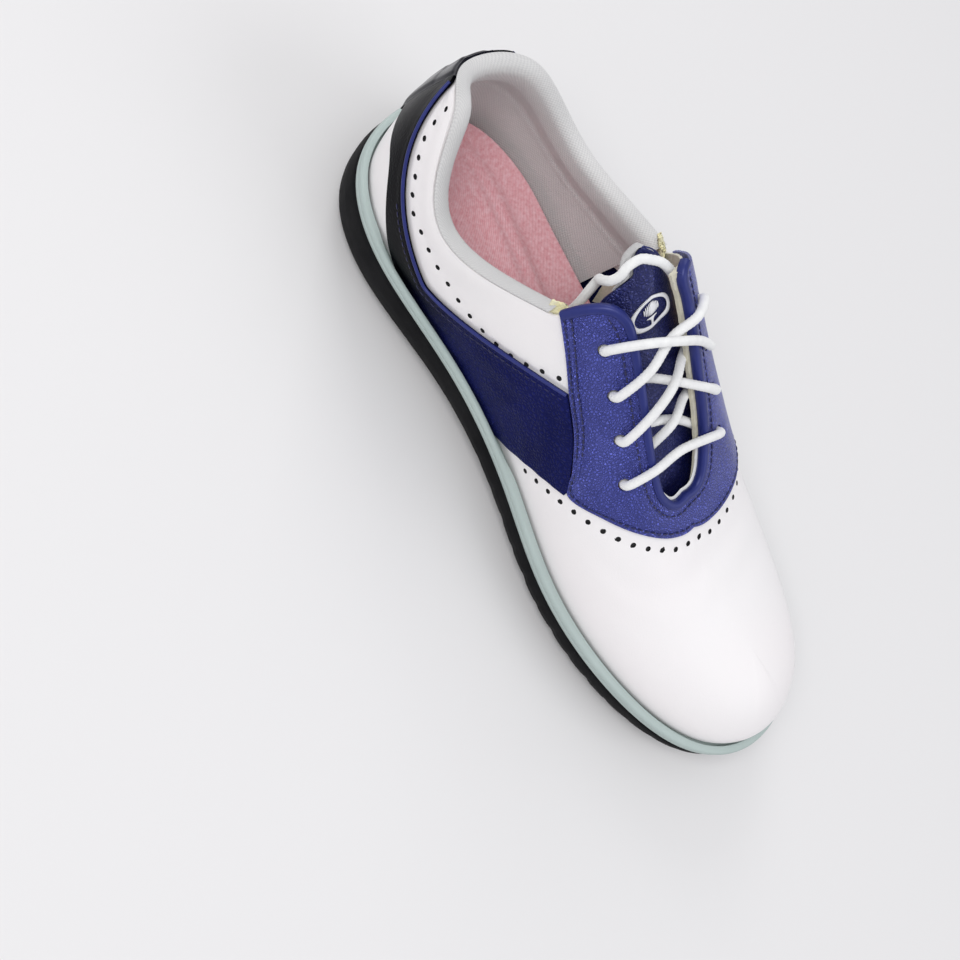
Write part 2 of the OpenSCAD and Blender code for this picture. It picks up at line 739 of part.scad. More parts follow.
// The laced part, from the top lateral eyelet through all eight to the top medial one.  Each
// strand across the throat is given by places and their distances from the surface.
lace_path = [
    each reversed(turn(0, 0, true)),
    each strand([[3.41, -0.20, 3.6], [3.52, -0.05, 4.4], [3.62, 0.11, 3.6]]),
    each turn(1, 1),
    each strand([[3.79, 0.09, -3.4], [3.89, -0.06, 1.8], [3.98, -0.20, 3.4]]),
    each turn(0, 2),
    each strand([
        [4.13, -0.25, -4.4], [4.20, -0.14, -4.2], [4.26, -0.05, -4.1], [4.33, 0.05, -4.2], [4.39, 0.14, -4.4]
    ]),
    each reversed(turn(1, 3)),
    each strand([[4.46, 0.12, 3.3], [4.48, -0.04, 2.8], [4.46, -0.21, 3.4]]),
    each turn(0, 3),
    each strand([[4.38, -0.20, -4.0], [4.26, -0.05, -0.2], [4.14, 0.09, -4.0]]),
    each reversed(turn(1, 2)),
    each strand([[4.01, 0.12, 3.2], [3.89, -0.06, -2.0], [3.78, -0.20, -4.3]]),
    each reversed(turn(0, 1)),
    each strand([[3.63, -0.20, 3.4], [3.52, -0.05, 0.8], [3.42, 0.10, 3.4]]),
    each turn(1, 0)
];

// The free end from the top lateral eyelet: down inside the outer wall, then along the footbed
end_lateral = [
    lace_path[0],
    each [for (p = [
        [-33, -25.3, 76.5], [-36, -26.2, 64], [-38, -26.5, 51], [-37, -26.6, 40], [-27, -24.2, 30.2],
        [-5, -22.6, 28.6], [18, -22.2, 27.3], [42, -21.5, 26.9]
    ]) fitted(p)]
];

// The free end from the top medial eyelet: over the tongue's top, round the outer side of its neck,
// down inside and along the footbed
end_medial = [
    last(lace_path),
    each strand([
        [3.27, 0.20, -4.5], [3.18, 0.19, -4.5], [3.10, 0.14, -4.4], [3.02, 0.06, -4.3],
        [2.93, -0.005, -3.8], [2.87, -0.075, -3.7], [2.83, -0.14, -3.7], [2.845, -0.205, -3.8],
        [2.89, -0.25, -4.2], [2.905, -0.294, -5.4], [2.905, -0.325, -7.8], [2.905, -0.355, -10.8],
        [2.92, -0.385, -14.2]
    ]),
    each [for (p = [
        [-48, -16.5, 76], [-46, -16.5, 67], [-43.5, -17.5, 58], [-40, -18.5, 46], [-34, -18, 34.5],
        [-20, -17, 30.3], [-4, -16.2, 28.4], [18, -15, 26.9], [42, -15, 26], [64, -13, 26.1]
    ]) fitted(p)]
];
function fitted(p) = [p[0] * kx, p[1] * ky, p[2]];

module lace() {
    color("#f6f6f6")
    tube(lace_path, lace_d);
}
module lace_end_lateral() {
    color("#f6f6f6")
    tube(end_lateral, lace_d, -unit(lace_path[1] - lace_path[0]));
}
module lace_end_medial() {
    color("#f6f6f6")
    tube(end_medial, lace_d, tip_dir(lace_path));
}

// Clear sleeve on a lace tip
aglet_l = 20;
module aglet(path) {
    color("#e6ebee")
    translate(last(path)) turned(tip_dir(path)) cylinder(d = lace_d - 0.5, h = aglet_l, $fn = 32);
}
module aglet_lateral() { aglet(end_lateral); }
module aglet_medial() { aglet(end_medial); }

outsole();
midsole();
bottom_filler();
shank();
lasting_board();
footbed();
cleat_sockets();
cleat_1();
cleat_2();
cleat_3();
cleat_4();
cleat_5();
cleat_6();
cleat_7();
vamp();
toe_puff();
vamp_lining();
saddle();
throat_binding();
facing_lining_lateral();
facing_lining_medial();
side_band_lateral();
side_band_medial();
quarter_lateral();
quarter_medial();
heel_panel_lateral();
heel_panel_medial();
heel_tab();
heel_counter();
collar_foam();
collar_lining();
tongue_leather();
tongue_lining();
tongue_patch();
lace();
lace_end_lateral();
lace_end_medial();
aglet_lateral();
aglet_medial();
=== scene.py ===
"""Right golf shoe, saddle pattern: the looks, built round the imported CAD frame.

Shapes are made in millimetres in the frame's axes (+X toe, +Y medial, +Z up) and written in metres.
A place on the upper is (q, w): q runs from 0 at the heel to 8 at the toe, and w from -1 at the lateral
sole edge over 0 at the instep ridge to +1 at the medial sole edge.
"""
import math

import bmesh
import bpy
import numpy as np
from mathutils import Matrix


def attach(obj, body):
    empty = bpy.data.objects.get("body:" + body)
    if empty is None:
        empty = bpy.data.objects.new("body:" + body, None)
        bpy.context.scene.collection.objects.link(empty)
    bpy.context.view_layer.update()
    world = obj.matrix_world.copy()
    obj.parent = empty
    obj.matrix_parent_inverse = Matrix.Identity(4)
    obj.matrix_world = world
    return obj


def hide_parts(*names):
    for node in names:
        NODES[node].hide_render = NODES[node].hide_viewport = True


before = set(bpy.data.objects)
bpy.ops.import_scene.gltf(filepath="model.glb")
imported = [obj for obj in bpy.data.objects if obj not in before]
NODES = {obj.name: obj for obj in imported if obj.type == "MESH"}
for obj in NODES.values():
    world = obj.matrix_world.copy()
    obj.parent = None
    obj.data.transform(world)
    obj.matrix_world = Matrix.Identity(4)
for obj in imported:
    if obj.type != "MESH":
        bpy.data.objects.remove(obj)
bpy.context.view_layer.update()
MM = 0.001
rng = np.random.default_rng(7)

# ---- surface of the upper, as in the CAD


def mirrored(t):
    return [t[i if i <= 8 else 16 - i] for i in range(16)]


EDGE_X = [-134, -123, -91, -46, -2, 36, 77, 118, 136, 124, 88, 49, 4, -44, -91, -127]
EDGE_Y = [-7, -35, -42, -34, -36, -45, -43, -30, -3, 30, 43, 45, 35, 26, 30, 18]
EDGE_Z = [24, 24, 24, 23, 20, 17, 18, 20, 20, 19, 17, 16, 18, 22, 24, 24]
RIDGE_X = mirrored([-104, -100, -78, -44, -8, 31, 61, 88, 100])
RIDGE_Y = mirrored([-4, -4, -4, -4, -6, -7, -4, -1, 1])
RIDGE_Z = mirrored([126, 126, 124, 111, 87, 61, 49, 47, 46])
SIDE_UP = mirrored([0.40, 0.41, 0.42, 0.48, 0.55, 0.57, 0.59, 0.61, 0.62])
SIDE_OUT = [12, 9.5, 8.5, 7.5, 7, 5, 4, 3.5, 3.5, 4.5, 5, 5.5, 6.5, 8, 7.5, 9]
CROWN = mirrored([0.79, 0.80, 0.77, 0.66, 0.61, 0.61, 0.66, 0.68, 0.68])
TOPLINE = [0.30, 0.54, 0.16, 0.50, 0.92, 1, 1, 1, 1, 1, 1, 1, 0.92, 0.50, 0.20, 0.43]
TREAD = mirrored([7.5, 5, 5, 8, 7.5, 5, 5, 8.5, 13])
COLLAR_END = 2.92
OVER = (0.3, 1.4)
LEATHER = -1.3
BOARD_IN = -1.6
LACE_D = 3.4
EYELET_D = 4.7
PUNCH_D, PUNCH_DEEP = 2.0, 0.95
HOLE_SIDES = 24
STATION_MM, GIRTH_MM = 26, 75  # about one step of q and of w
# the band's colour turns to painted shade, and its bumps flatten, between these two x
HEEL_FADE = (-0.045, -0.085)  # metres: where the band's colour starts and stops turning
EYELET_Q = [3.33, 3.70, 4.07, 4.45]
EYELET_W = [-0.38, 0.25]


def smooth(t, s):
    """Closed cubic curve through a table of sixteen stations."""
    t, s = np.asarray(t, float), np.asarray(s, float)
    i = np.floor(s).astype(int)
    f = s - i
    g = 1 - f
    return (g**3 * t[(i - 1) % 16] + (3 * f**3 - 6 * f**2 + 4) * t[i % 16]
            + (3 * g**3 - 6 * g**2 + 4) * t[(i + 1) % 16] + f**3 * t[(i + 2) % 16]) / 6


def ease(t):
    c = np.clip(t, 0, 1)
    return c * c * (3 - 2 * c)


def mix(a, b, t):
    return a + (b - a) * t


def gauss(x, width):
    return np.exp(-(x / width)**2)


def circle(sides):
    """The angles of a ring of points."""
    return np.linspace(0, 2 * np.pi, sides, endpoint=False)


def unit(v):
    return v / np.maximum(np.linalg.norm(v, axis=-1, keepdims=True), 1e-9)


def folded(s):
    s = np.asarray(s, float)
    return np.where(s < 0, -s, np.where(s > 16, s - 16, np.where(s > 8, 16 - s, s)))


def ridge_step(q, start):
    a = np.clip(q - 0.25, start, 7.5)
    return smooth(RIDGE_X, a + 0.5) - smooth(RIDGE_X, a), smooth(RIDGE_Z, a + 0.5) - smooth(RIDGE_Z, a)


def section(s):
    """The four control points of the cross-section at station s."""
    q = folded(s)
    foot = np.stack([smooth(EDGE_X, s), smooth(EDGE_Y, s), smooth(EDGE_Z, s)], -1)
    top = np.stack([smooth(RIDGE_X, q), smooth(RIDGE_Y, q), smooth(RIDGE_Z, q)], -1)
    away = (foot - top) * [1, 1, 0]
    reach = np.linalg.norm(away, axis=-1) * smooth(CROWN, q)
    out = unit(away)
    dx, dz = ridge_step(q, 3.6)
    slope = ease((q - 4) / 1.5) * dz / np.maximum(dx, 4)
    up = np.array([0, 0, 1.0])
    bulge = foot + out * smooth(SIDE_OUT, s)[..., None]
    bulge = bulge + up * (smooth(SIDE_UP, q) * (top[..., 2] - foot[..., 2]))[..., None]
    crown = top + out * reach[..., None] + up * (slope * out[..., 0] * reach)[..., None]
    return foot, bulge, crown, top


def along(c, v):
    v = v[..., None]
    u = 1 - v
    return u**3 * c[0] + 3 * u**2 * v * c[1] + 3 * u * v**2 * c[2] + v**3 * c[3]


def place(q, w):
    """Points and outward normals at places on the upper."""
    q, w = np.broadcast_arrays(np.asarray(q, float), np.asarray(w, float))
    s = np.where(w > 0, 16 - q, q)
    v = 1 - np.abs(w)
    c = section(s)
    low = np.minimum(v, 0.98)
    ahead = along(section(s + 0.02), low) - along(section(s - 0.02), low)
    t = low[..., None]
    rise = (1 - t)**2 * (c[1] - c[0]) + 2 * (1 - t) * t * (c[2] - c[1]) + t**2 * (c[3] - c[2])
    dx, dz = ridge_step(q, 1)
    ridge = unit(np.stack([-dz, np.zeros_like(dz), dx], -1))
    blend = ease((v - 0.88) / 0.12)[..., None]
    return along(c, v), unit(mix(unit(np.cross(ahead, rise)), ridge, blend))


def off(q, w, d):
    p, n = place(q, w)
    return p + n * np.asarray(d, float)[..., None]


def spline(points, n):
    """Catmull-Rom curve through points, n steps for each pair."""
    p = np.asarray(points, float)
    p = np.vstack([2 * p[0] - p[1], p, 2 * p[-1] - p[-2]])
    t = np.linspace(0, 1, n, endpoint=False)[:, None]
    parts = [0.5 * (2 * b + (c - a) * t + (2 * a - 5 * b + 4 * c - d) * t**2 + (3 * b - a - 3 * c + d) * t**3)
             for a, b, c, d in zip(p, p[1:], p[2:], p[3:])]
    return np.vstack(parts + [p[-2:-1]])


def travelled(p):
    return np.concatenate([[0], np.cumsum(np.linalg.norm(np.diff(p, axis=0), axis=1))])


def widths(grid, axis):
    """Distance travelled along one axis of a grid of points."""
    steps = np.diff(grid, axis=axis, prepend=np.take(grid, [0], axis))
    return np.cumsum(np.linalg.norm(steps, axis=2), axis=axis)


def sampled(p, s, at):
    """Rows of p, which lie at the distances s, read at the distances at."""
    return np.stack([np.interp(at, s, column) for column in p.T], -1)


def stops_along(s, step):
    return np.linspace(0, s[-1], max(2, int(round(s[-1] / step)) + 1))


def even(p, step):
    """The same line at even distances of about step."""
    s = travelled(p)
    return sampled(p, s, stops_along(s, step))


def trail(places, step, d=0.0, curved=True):
    """Evenly spaced points, normals and tangents along a line of places."""
    line = spline(places, 24) if curved else np.asarray(places, float)
    s = travelled(place(line[:, 0], line[:, 1])[0])
    p, normal = place(*sampled(line, s, stops_along(s, step)).T)
    p = p + normal * d
    return p, normal, unit(np.gradient(p, axis=0))


# ---- mesh helpers


def put(name, points, faces, mat, slot, body="shoe", stands_for=(), uv=None, sharp=38, merge=False):
    """Make a mesh piece from points in millimetres."""
    mesh = bpy.data.meshes.new(name)
    mesh.from_pydata((np.asarray(points) * MM).tolist(), [], [list(map(int, f)) for f in faces])
    if uv is not None:
        corner = np.empty(len(mesh.loops), np.int32)
        mesh.loops.foreach_get("vertex_index", corner)
        layout = np.asarray(uv)[corner].astype(np.float32)
        mesh.uv_layers.new(name="mm").data.foreach_set("uv", layout.ravel())
    if merge:
        bm = bmesh.new()
        bm.from_mesh(mesh)
        bmesh.ops.remove_doubles(bm, verts=bm.verts, dist=2e-6)
        bm.to_mesh(mesh)
        bm.free()
    obj = bpy.data.objects.new(name, mesh)
    bpy.context.scene.collection.objects.link(obj)
    mesh.materials.append(mat)
    polish(obj, sharp)
    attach(obj, body)
    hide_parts(*stands_for)
    return obj


def polish(obj, sharp):
    obj.data.shade_smooth()
    obj.data.set_sharp_from_angle(angle=math.radians(sharp))


def baked(obj, sharp=38):
    """Apply the modifiers of obj."""
    mesh = bpy.data.meshes.new_from_object(obj.evaluated_get(bpy.context.evaluated_depsgraph_get()))
    old = obj.data
    obj.modifiers.clear()
    obj.data = mesh
    bpy.data.meshes.remove(old)
    polish(obj, sharp)
    return obj


def rounded(obj, width, segments=2, sharp=38):
    m = obj.modifiers.new("edges", "BEVEL")
    m.width, m.segments, m.limit_method, m.angle_limit = width * MM, segments, "ANGLE", math.radians(50)
    return baked(obj, sharp)


def ring_faces(base, rows, sides, turned=False):
    """Faces of a closed shape made of rings of points, and of its two ends."""
    faces = []
    for i in range(rows - 1):
        for k in range(sides):
            a, b = base + i * sides + k, base + i * sides + (k + 1) % sides
            faces.append([a, a + sides, b + sides, b] if turned else [a, b, b + sides, a + sides])
    first = [base + k for k in range(sides)]
    last = [base + (rows - 1) * sides + k for k in range(sides)]
    return faces + ([first, last[::-1]] if turned else [first[::-1], last])


def cut(obj, centres, normals, d, depth=8, sharp=38, blind=None, shade_lining=None):
    """Punch round holes through obj, or down to the distance blind, lined if asked with a second material
    that paints shade into them.
    """
    a = circle(HOLE_SIDES)
    points, faces = [], []
    for c, n in zip(centres, normals):
        c = c if blind is None else c + n * (depth / 2 - blind)
        x = unit(np.cross(n, [0.3, 0.2, 0.9]))
        y = np.cross(n, x)
        ring = (x[None] * np.cos(a)[:, None] + y[None] * np.sin(a)[:, None]) * d / 2
        faces += ring_faces(sum(len(p) for p in points), 2, HOLE_SIDES)
        points.append(np.vstack([c + ring - n * depth / 2, c + ring + n * depth / 2]))
    mesh = bpy.data.meshes.new("cutter")
    mesh.from_pydata((np.vstack(points) * MM).tolist(), [], faces)
    tool = bpy.data.objects.new("cutter", mesh)
    bpy.context.scene.collection.objects.link(tool)
    m = obj.modifiers.new("holes", "BOOLEAN")
    m.operation, m.object, m.solver = "DIFFERENCE", tool, "MANIFOLD"
    baked(obj, sharp)
    bpy.data.objects.remove(tool)
    bpy.data.meshes.remove(mesh)
    kept = obj.data.materials[0]
    obj.data.materials.clear()
    obj.data.materials.append(kept)
    middle = np.empty(len(obj.data.polygons) * 3)
    obj.data.polygons.foreach_get("center", middle)
    middle = middle.reshape(-1, 3) / MM
    inside = np.zeros(len(middle), bool)
    # painted shade: the walls and floors of each hole take the second, dark material
    if shade_lining:
        obj.data.materials.append(shade_lining)
        for c, n in zip(centres, normals):
            apart = middle - c
            up = apart @ n
            beside = np.linalg.norm(apart - up[:, None] * n, axis=1)
            inside |= (beside < d / 2 + 0.004) & (np.abs(up) < -LEATHER)
    obj.data.polygons.foreach_set("material_index", inside.astype(np.int32))
    obj.data.update()


def oriented(points, faces):
    """The faces, turned over if they enclose a negative volume."""
    p = np.asarray(points)
    total = 0.0
    for f in faces:
        a = p[f[0]]
        for i in range(1, len(f) - 1):
            total += np.dot(a, np.cross(p[f[i]], p[f[i + 1]]))
    return faces if total > 0 else [f[::-1] for f in faces]


def quads(idx):
    return np.stack([idx[:-1, 1:], idx[1:, 1:], idx[1:, :-1], idx[:-1, :-1]], -1).reshape(-1, 4)


def plate(name, outer, inner, mat, slot, zipped=False, **kw):
    """Closed solid between two grids of points."""
    rows, cols = outer.shape[:2]
    idx = np.arange(rows * cols).reshape(rows, cols)
    n = rows * cols
    faces = [quads(idx), quads(idx)[:, ::-1] + n]
    borders = [idx[0, ::-1], idx[:, 0], idx[::-1, -1]] + ([] if zipped else [idx[-1, :]])
    for b in borders:
        faces.append(np.stack([b[1:], b[1:] + n, b[:-1] + n, b[:-1]], -1))
    faces = np.vstack(faces)
    points = np.vstack([outer.reshape(-1, 3), inner.reshape(-1, 3)])
    tri = points[faces]
    volume = np.einsum("ij,ij->i", tri[:, 0], np.cross(tri[:, 1], tri[:, 2])).sum()
    volume += np.einsum("ij,ij->i", tri[:, 0], np.cross(tri[:, 2], tri[:, 3])).sum()
    if volume < 0:
        faces = faces[:, ::-1]
    u, v = widths(outer, 1), widths(outer, 0)
    u = u - u[:, cols // 2:cols // 2 + 1]
    uv = np.stack([u.ravel(), v.ravel()], -1)
    return put(name, points, faces.tolist(), mat, slot, uv=np.vstack([uv, uv]), merge=zipped, **kw)


def layer(name, q, w, high, low, mat, slot, **kw):
    """Closed solid between two distances from the surface of the upper."""
    p, n = place(q, w)
    high, low = (np.broadcast_to(d, p.shape[:2])[..., None] for d in (high, low))
    return plate(name, p + n * high, p + n * low, mat, slot, **kw)


def loft(name, rings, mat, slot, caps=True, **kw):
    """Closed tube through rings of points, each ring closed."""
    rings = np.asarray(rings, float)
    rows, cols = rings.shape[:2]
    idx = np.arange(rows * cols).reshape(rows, cols)
    around = np.hstack([idx, idx[:, :1]])
    faces = quads(around).tolist()
    if caps:
        faces += [idx[0].tolist(), idx[-1, ::-1].tolist()]
    points = rings.reshape(-1, 3)
    faces = oriented(points, faces)
    uv = np.stack([widths(rings, 1).ravel(), widths(rings, 0).ravel()], -1)
    return put(name, points, faces, mat, slot, uv=uv, **kw)


def sweep(name, p, across, normal, profile, mat, slot, **kw):
    """Profile of (across, up) carried along a line."""
    profile = np.asarray(profile, float)
    rings = p[:, None] + across[:, None] * profile[None, :, :1] + normal[:, None] * profile[None, :, 1:]
    return loft(name, rings, mat, slot, **kw)


def tube(p, side, up, radius, sides):
    """Rings of points round a line."""
    a = circle(sides)
    ring = side[:, None] * np.cos(a)[None, :, None] + up[:, None] * np.sin(a)[None, :, None]
    return p[:, None] + ring * np.asarray(radius)[..., None]


def carried(p):
    """Frames along a line that turn as little as they can: tangent, side, up."""
    t = unit(np.gradient(p, axis=0))
    side = np.empty_like(p)
    u = unit(np.cross(t[0], [0, 0, 1.0] if abs(t[0][2]) < 0.8 else [1.0, 0, 0]))
    for i in range(len(p)):
        u = unit(u - t[i] * np.dot(u, t[i]))
        side[i] = u
    return t, side, np.cross(t, side)


def bead(points, faces, centre, axis, normal, length, radius, lift=0.3):
    """Add one sewn stitch: a short arched thread."""
    sides, stops = 6, np.array([-1, -0.8, -0.3, 0.3, 0.8, 1])
    side = np.cross(normal, axis)
    base = len(points)
    for x in stops:
        r = radius * math.sqrt(max(0.05, 1 - x**4))
        c = centre + axis * x * length / 2 + normal * radius * (lift * (1 - x * x) - 0.5 * abs(x)**6)
        for k in range(sides):
            a = 2 * math.pi * k / sides
            points.append(c + side * math.cos(a) * r + normal * math.sin(a) * r)
    faces += ring_faces(base, len(stops), sides)


def stitches(name, lines, mat, slot, length=2.1, radius=0.27):
    """Rows of stitches along lines of (points, normals, tangents), one at each point."""
    points, faces = [], []
    for p, n, t in lines:
        for i in range(len(p)):
            bead(points, faces, p[i], unit(t[i] + rng.normal(0, 0.02, 3)), n[i], length, radius)
    put(name, np.array(points), faces, mat, slot, sharp=80)


# ---- materials


def material(name, color, rough, other, mottle, contrast, bumps, shade=0.0, metallic=0.0,
             coat=0.0, coat_rough=0.2, sheen=0.0, spec=0.5, rough_spread=0.08, sub=0.0, heel=None):
    """Procedural material.  mottle is the size in mm of the patches where color turns to other, and
    bumps are (kind, size in mm, depth in mm); shade darkens the hollows of the last bump, and heel is
    the colour of painted shade that it turns to at the back of the shoe, where its bumps also flatten."""
    m = bpy.data.materials.new(name)
    m.use_nodes = True
    tree = m.node_tree
    tree.nodes.clear()
    link = tree.links.new

    def node(kind, **values):
        made = tree.nodes.new(kind)
        for key, value in values.items():
            if key in made.inputs:
                made.inputs[key].default_value = value
            else:
                setattr(made, key, value)
        return made

    def math_node(op, a, b=0.0):
        made = tree.nodes.new("ShaderNodeMath")
        made.operation = op
        for socket, value in zip(made.inputs, (a, b)):
            if isinstance(value, (int, float)):
                socket.default_value = value
            else:
                link(value, socket)
        return made.outputs[0]

    coord = node("ShaderNodeTexCoord")
    place_out, uv_out = coord.outputs["Object"], coord.outputs["UV"]

    def noise(size, detail=3.0, **values):
        made = node("ShaderNodeTexNoise", Scale=1000 / size, Detail=detail, **values)
        link(place_out, made.inputs["Vector"])
        return made.outputs["Fac"]

    def mixed(factor, a, b, **values):
        """Mix of two colours, each a socket or three numbers."""
        made = node("ShaderNodeMix", data_type="RGBA", **values)
        link(factor, made.inputs[0])
        for socket, value in ((made.inputs[6], a), (made.inputs[7], b)):
            if isinstance(value, (tuple, list)):
                socket.default_value = (*value, 1)
            else:
                link(value, socket)
        return made.outputs[2]

    def rearward(**values):
        """Rises from the arch to the back of the heel."""
        parts = node("ShaderNodeSeparateXYZ")
        link(place_out, parts.inputs[0])
        made = node("ShaderNodeMapRange", **{"From Min": HEEL_FADE[0], "From Max": HEEL_FADE[1]}, **values)
        link(parts.outputs[0], made.inputs["Value"])
        return made.outputs[0]

    def wave(socket, size):
        return math_node("SINE", math_node("MULTIPLY", socket, 2 * math.pi / size))

    def pattern(kind, size):
        if kind == "noise":
            return noise(size, 4.0)
        if kind == "pebble":
            warp = node("ShaderNodeTexNoise", Scale=500 / size, Detail=2.0)
            link(place_out, warp.inputs["Vector"])
            add = node("ShaderNodeVectorMath", operation="MULTIPLY_ADD")
            link(warp.outputs["Color"], add.inputs[0])
            add.inputs[1].default_value = (size * 0.0009,) * 3
            link(place_out, add.inputs[2])
            cell = node("ShaderNodeTexVoronoi", Scale=1000 / size, feature="DISTANCE_TO_EDGE")
            link(add.outputs[0], cell.inputs["Vector"])
            ramp = node("ShaderNodeMapRange", **{"From Max": 0.35}, interpolation_type="SMOOTHSTEP")
            link(cell.outputs["Distance"], ramp.inputs["Value"])
            return ramp.outputs[0]
        if kind == "crease":
            return noise(size, 5.0, Distortion=1.2, noise_type="RIDGED_MULTIFRACTAL")
        parts = node("ShaderNodeSeparateXYZ")
        link(uv_out, parts.inputs[0])
        u, v = parts.outputs[0], parts.outputs[1]
        if kind == "twill":
            return math_node("ADD", math_node("MULTIPLY", wave(math_node("ADD", u, v), size), 0.35),
                             math_node("MULTIPLY", wave(math_node("SUBTRACT", u, v), size / 2.3), 0.15))
        return math_node("MULTIPLY", math_node("MULTIPLY", wave(u, size), wave(v, size)), 0.5)

    shader = node("ShaderNodeBsdfPrincipled", Metallic=metallic, **{
        "Coat Weight": coat, "Coat Roughness": coat_rough, "Sheen Weight": sheen,
        "Specular IOR Level": spec, "Subsurface Weight": sub})
    if sub:
        shader.inputs["Subsurface Radius"].default_value = (0.002, 0.002, 0.002)
    output = node("ShaderNodeOutputMaterial")
    link(shader.outputs[0], output.inputs["Surface"])

    normal = None
    for kind, size, depth in bumps:
        height = pattern(kind, size)
        bump = node("ShaderNodeBump", Strength=1.0, Distance=depth * MM)
        link(height, bump.inputs["Height"])
        if normal is not None:
            link(normal, bump.inputs["Normal"])
        normal = bump.outputs[0]
        if heel:
            link(rearward(**{"To Min": 1.0, "To Max": 0.15}), bump.inputs["Strength"])
    link(normal, shader.inputs["Normal"])

    reach = 0.125 / contrast
    spread = node("ShaderNodeMapRange", **{"From Min": 0.5 - reach, "From Max": 0.5 + reach})
    link(noise(mottle), spread.inputs["Value"])
    colour = mixed(spread.outputs[0], color, other)
    # painted shade: the colour darkens to the heel colour towards the back of the heel
    if heel:
        colour = mixed(rearward(interpolation_type="SMOOTHSTEP"), colour, heel)
    if shade:
        hollow = node("ShaderNodeClamp")
        link(math_node("MULTIPLY", math_node("SUBTRACT", 1.0, height), shade), hollow.inputs[0])
        colour = mixed(hollow.outputs[0], colour, (0.25, 0.25, 0.28), blend_type="MULTIPLY")
    link(colour, shader.inputs["Base Color"])
    gloss = node("ShaderNodeMapRange", **{"To Min": rough - rough_spread, "To Max": rough + rough_spread})
    link(noise(mottle / 3, 2.0), gloss.inputs["Value"])
    link(gloss.outputs[0], shader.inputs["Roughness"])
    return m


WHITE = material("white_leather", (0.90, 0.885, 0.885), 0.42, (0.91, 0.87, 0.875), 60, 0.4,
                 [("noise", 9, 0.10), ("pebble", 0.9, 0.018)], spec=0.45, rough_spread=0.06)
# painted shade: near-black walls and floors of the blind perforations, standing in for the shadow inside them
PUNCH_SHADE = material("punch_painted_shade", (0.02, 0.02, 0.022), 0.9, (0.04, 0.04, 0.042), 1, 0.6, [("noise", 0.4, 0.05)],
                spec=0.1)
NAVY = material("navy_pebble", (0.085, 0.105, 0.50), 0.34, (0.13, 0.155, 0.64), 16, 0.6,
                [("noise", 5, 0.2), ("pebble", 1.0, 0.38)], shade=0.75, metallic=0.6, coat=0.2,
                coat_rough=0.3, rough_spread=0.07)
NAVY_TONGUE = material("navy_tongue", (0.014, 0.018, 0.12), 0.33, (0.022, 0.030, 0.18), 12, 0.6,
                       [("noise", 5, 0.2), ("pebble", 1.2, 0.2)], shade=0.5, metallic=0.45, coat=0.2,
                       coat_rough=0.3, rough_spread=0.07)
# painted shade: the side bands darken to near-black towards the back of the heel
NAVY_DARK = material("navy_wrinkled", (0.008, 0.011, 0.085), 0.32, (0.012, 0.016, 0.12), 18, 0.6,
                     [("noise", 7, 0.2), ("crease", 3.5, 0.12), ("pebble", 1.5, 0.2)], shade=0.45,
                     metallic=0.25, spec=0.05, heel=(0.001, 0.001, 0.003))
BINDING = material("navy_binding", (0.012, 0.020, 0.15), 0.42, (0.018, 0.028, 0.19), 8, 0.5,
                   [("noise", 1.2, 0.05)], metallic=0.15)
GLOSS = material("navy_gloss", (0.003, 0.003, 0.006), 0.2, (0.004, 0.004, 0.012), 20, 0.5,
                 [("noise", 6, 0.06)], spec=0.1, rough_spread=0.05)
THREAD = material("navy_thread", (0.006, 0.007, 0.06), 0.55, (0.010, 0.010, 0.08), 3, 0.6,
                  [("noise", 0.35, 0.06)], sheen=0.2)
LINING = material("lining_grey", (0.50, 0.50, 0.505), 0.85, (0.56, 0.555, 0.55), 30, 0.5,
                  [("noise", 8, 0.25), ("twill", 1.15, 0.11)], sheen=0.3, spec=0.2)
COLLAR = material("collar_cloth", (0.76, 0.755, 0.745), 0.8, (0.82, 0.81, 0.80), 18, 0.5,
                  [("noise", 6, 0.2), ("weave", 1.3, 0.16)], shade=0.22, sheen=0.35, spec=0.25)
CREAM = material("facing_cream", (0.62, 0.58, 0.44), 0.9, (0.70, 0.67, 0.55), 4, 0.7,
                 [("noise", 0.8, 0.3)], sheen=0.3, spec=0.2)
FOAM = material("collar_foam", (0.86, 0.80, 0.48), 0.9, (0.90, 0.86, 0.62), 3, 0.7,
                [("noise", 0.7, 0.4)], spec=0.2, sub=0.1)
PINK = material("footbed_cloth", (0.84, 0.36, 0.40), 0.8, (0.98, 0.62, 0.66), 1.3, 0.55,
                [("noise", 3, 0.10), ("twill", 1.15, 0.12)], shade=0.12, sheen=0.2, spec=0.2)
MINT = material("midsole_paint", (0.42, 0.50, 0.48), 0.48, (0.46, 0.54, 0.52), 25, 0.5,
                [("noise", 1.5, 0.03)], spec=0.4)
RUBBER = material("outsole_rubber", (0.007, 0.007, 0.008), 0.6, (0.012, 0.012, 0.013), 12, 0.7,
                  [("noise", 2.5, 0.1), ("noise", 0.5, 0.06)], spec=0.06)
CLEAT = material("cleat_plastic", (0.022, 0.026, 0.036), 0.28, (0.03, 0.034, 0.045), 6, 0.5,
                 [("noise", 1.5, 0.05)], spec=0.6)
CLEAT_RING = material("cleat_ring", (0.40, 0.42, 0.45), 0.4, (0.46, 0.48, 0.5), 6, 0.5,
                      [("noise", 0.8, 0.04)])
COTTON = material("lace_cotton", (0.90, 0.90, 0.89), 0.85, (0.82, 0.82, 0.82), 2.5, 0.6,
                  [("noise", 0.35, 0.10)], sheen=0.35, spec=0.2)
AGLET = material("aglet_film", (0.72, 0.75, 0.77), 0.2, (0.80, 0.82, 0.84), 3, 0.5,
                 [("noise", 1.5, 0.05)], coat=0.4)
BADGE = material("badge_thread", (0.88, 0.88, 0.89), 0.6, (0.80, 0.80, 0.83), 2, 0.6,
                 [("noise", 0.3, 0.05)], sheen=0.3)
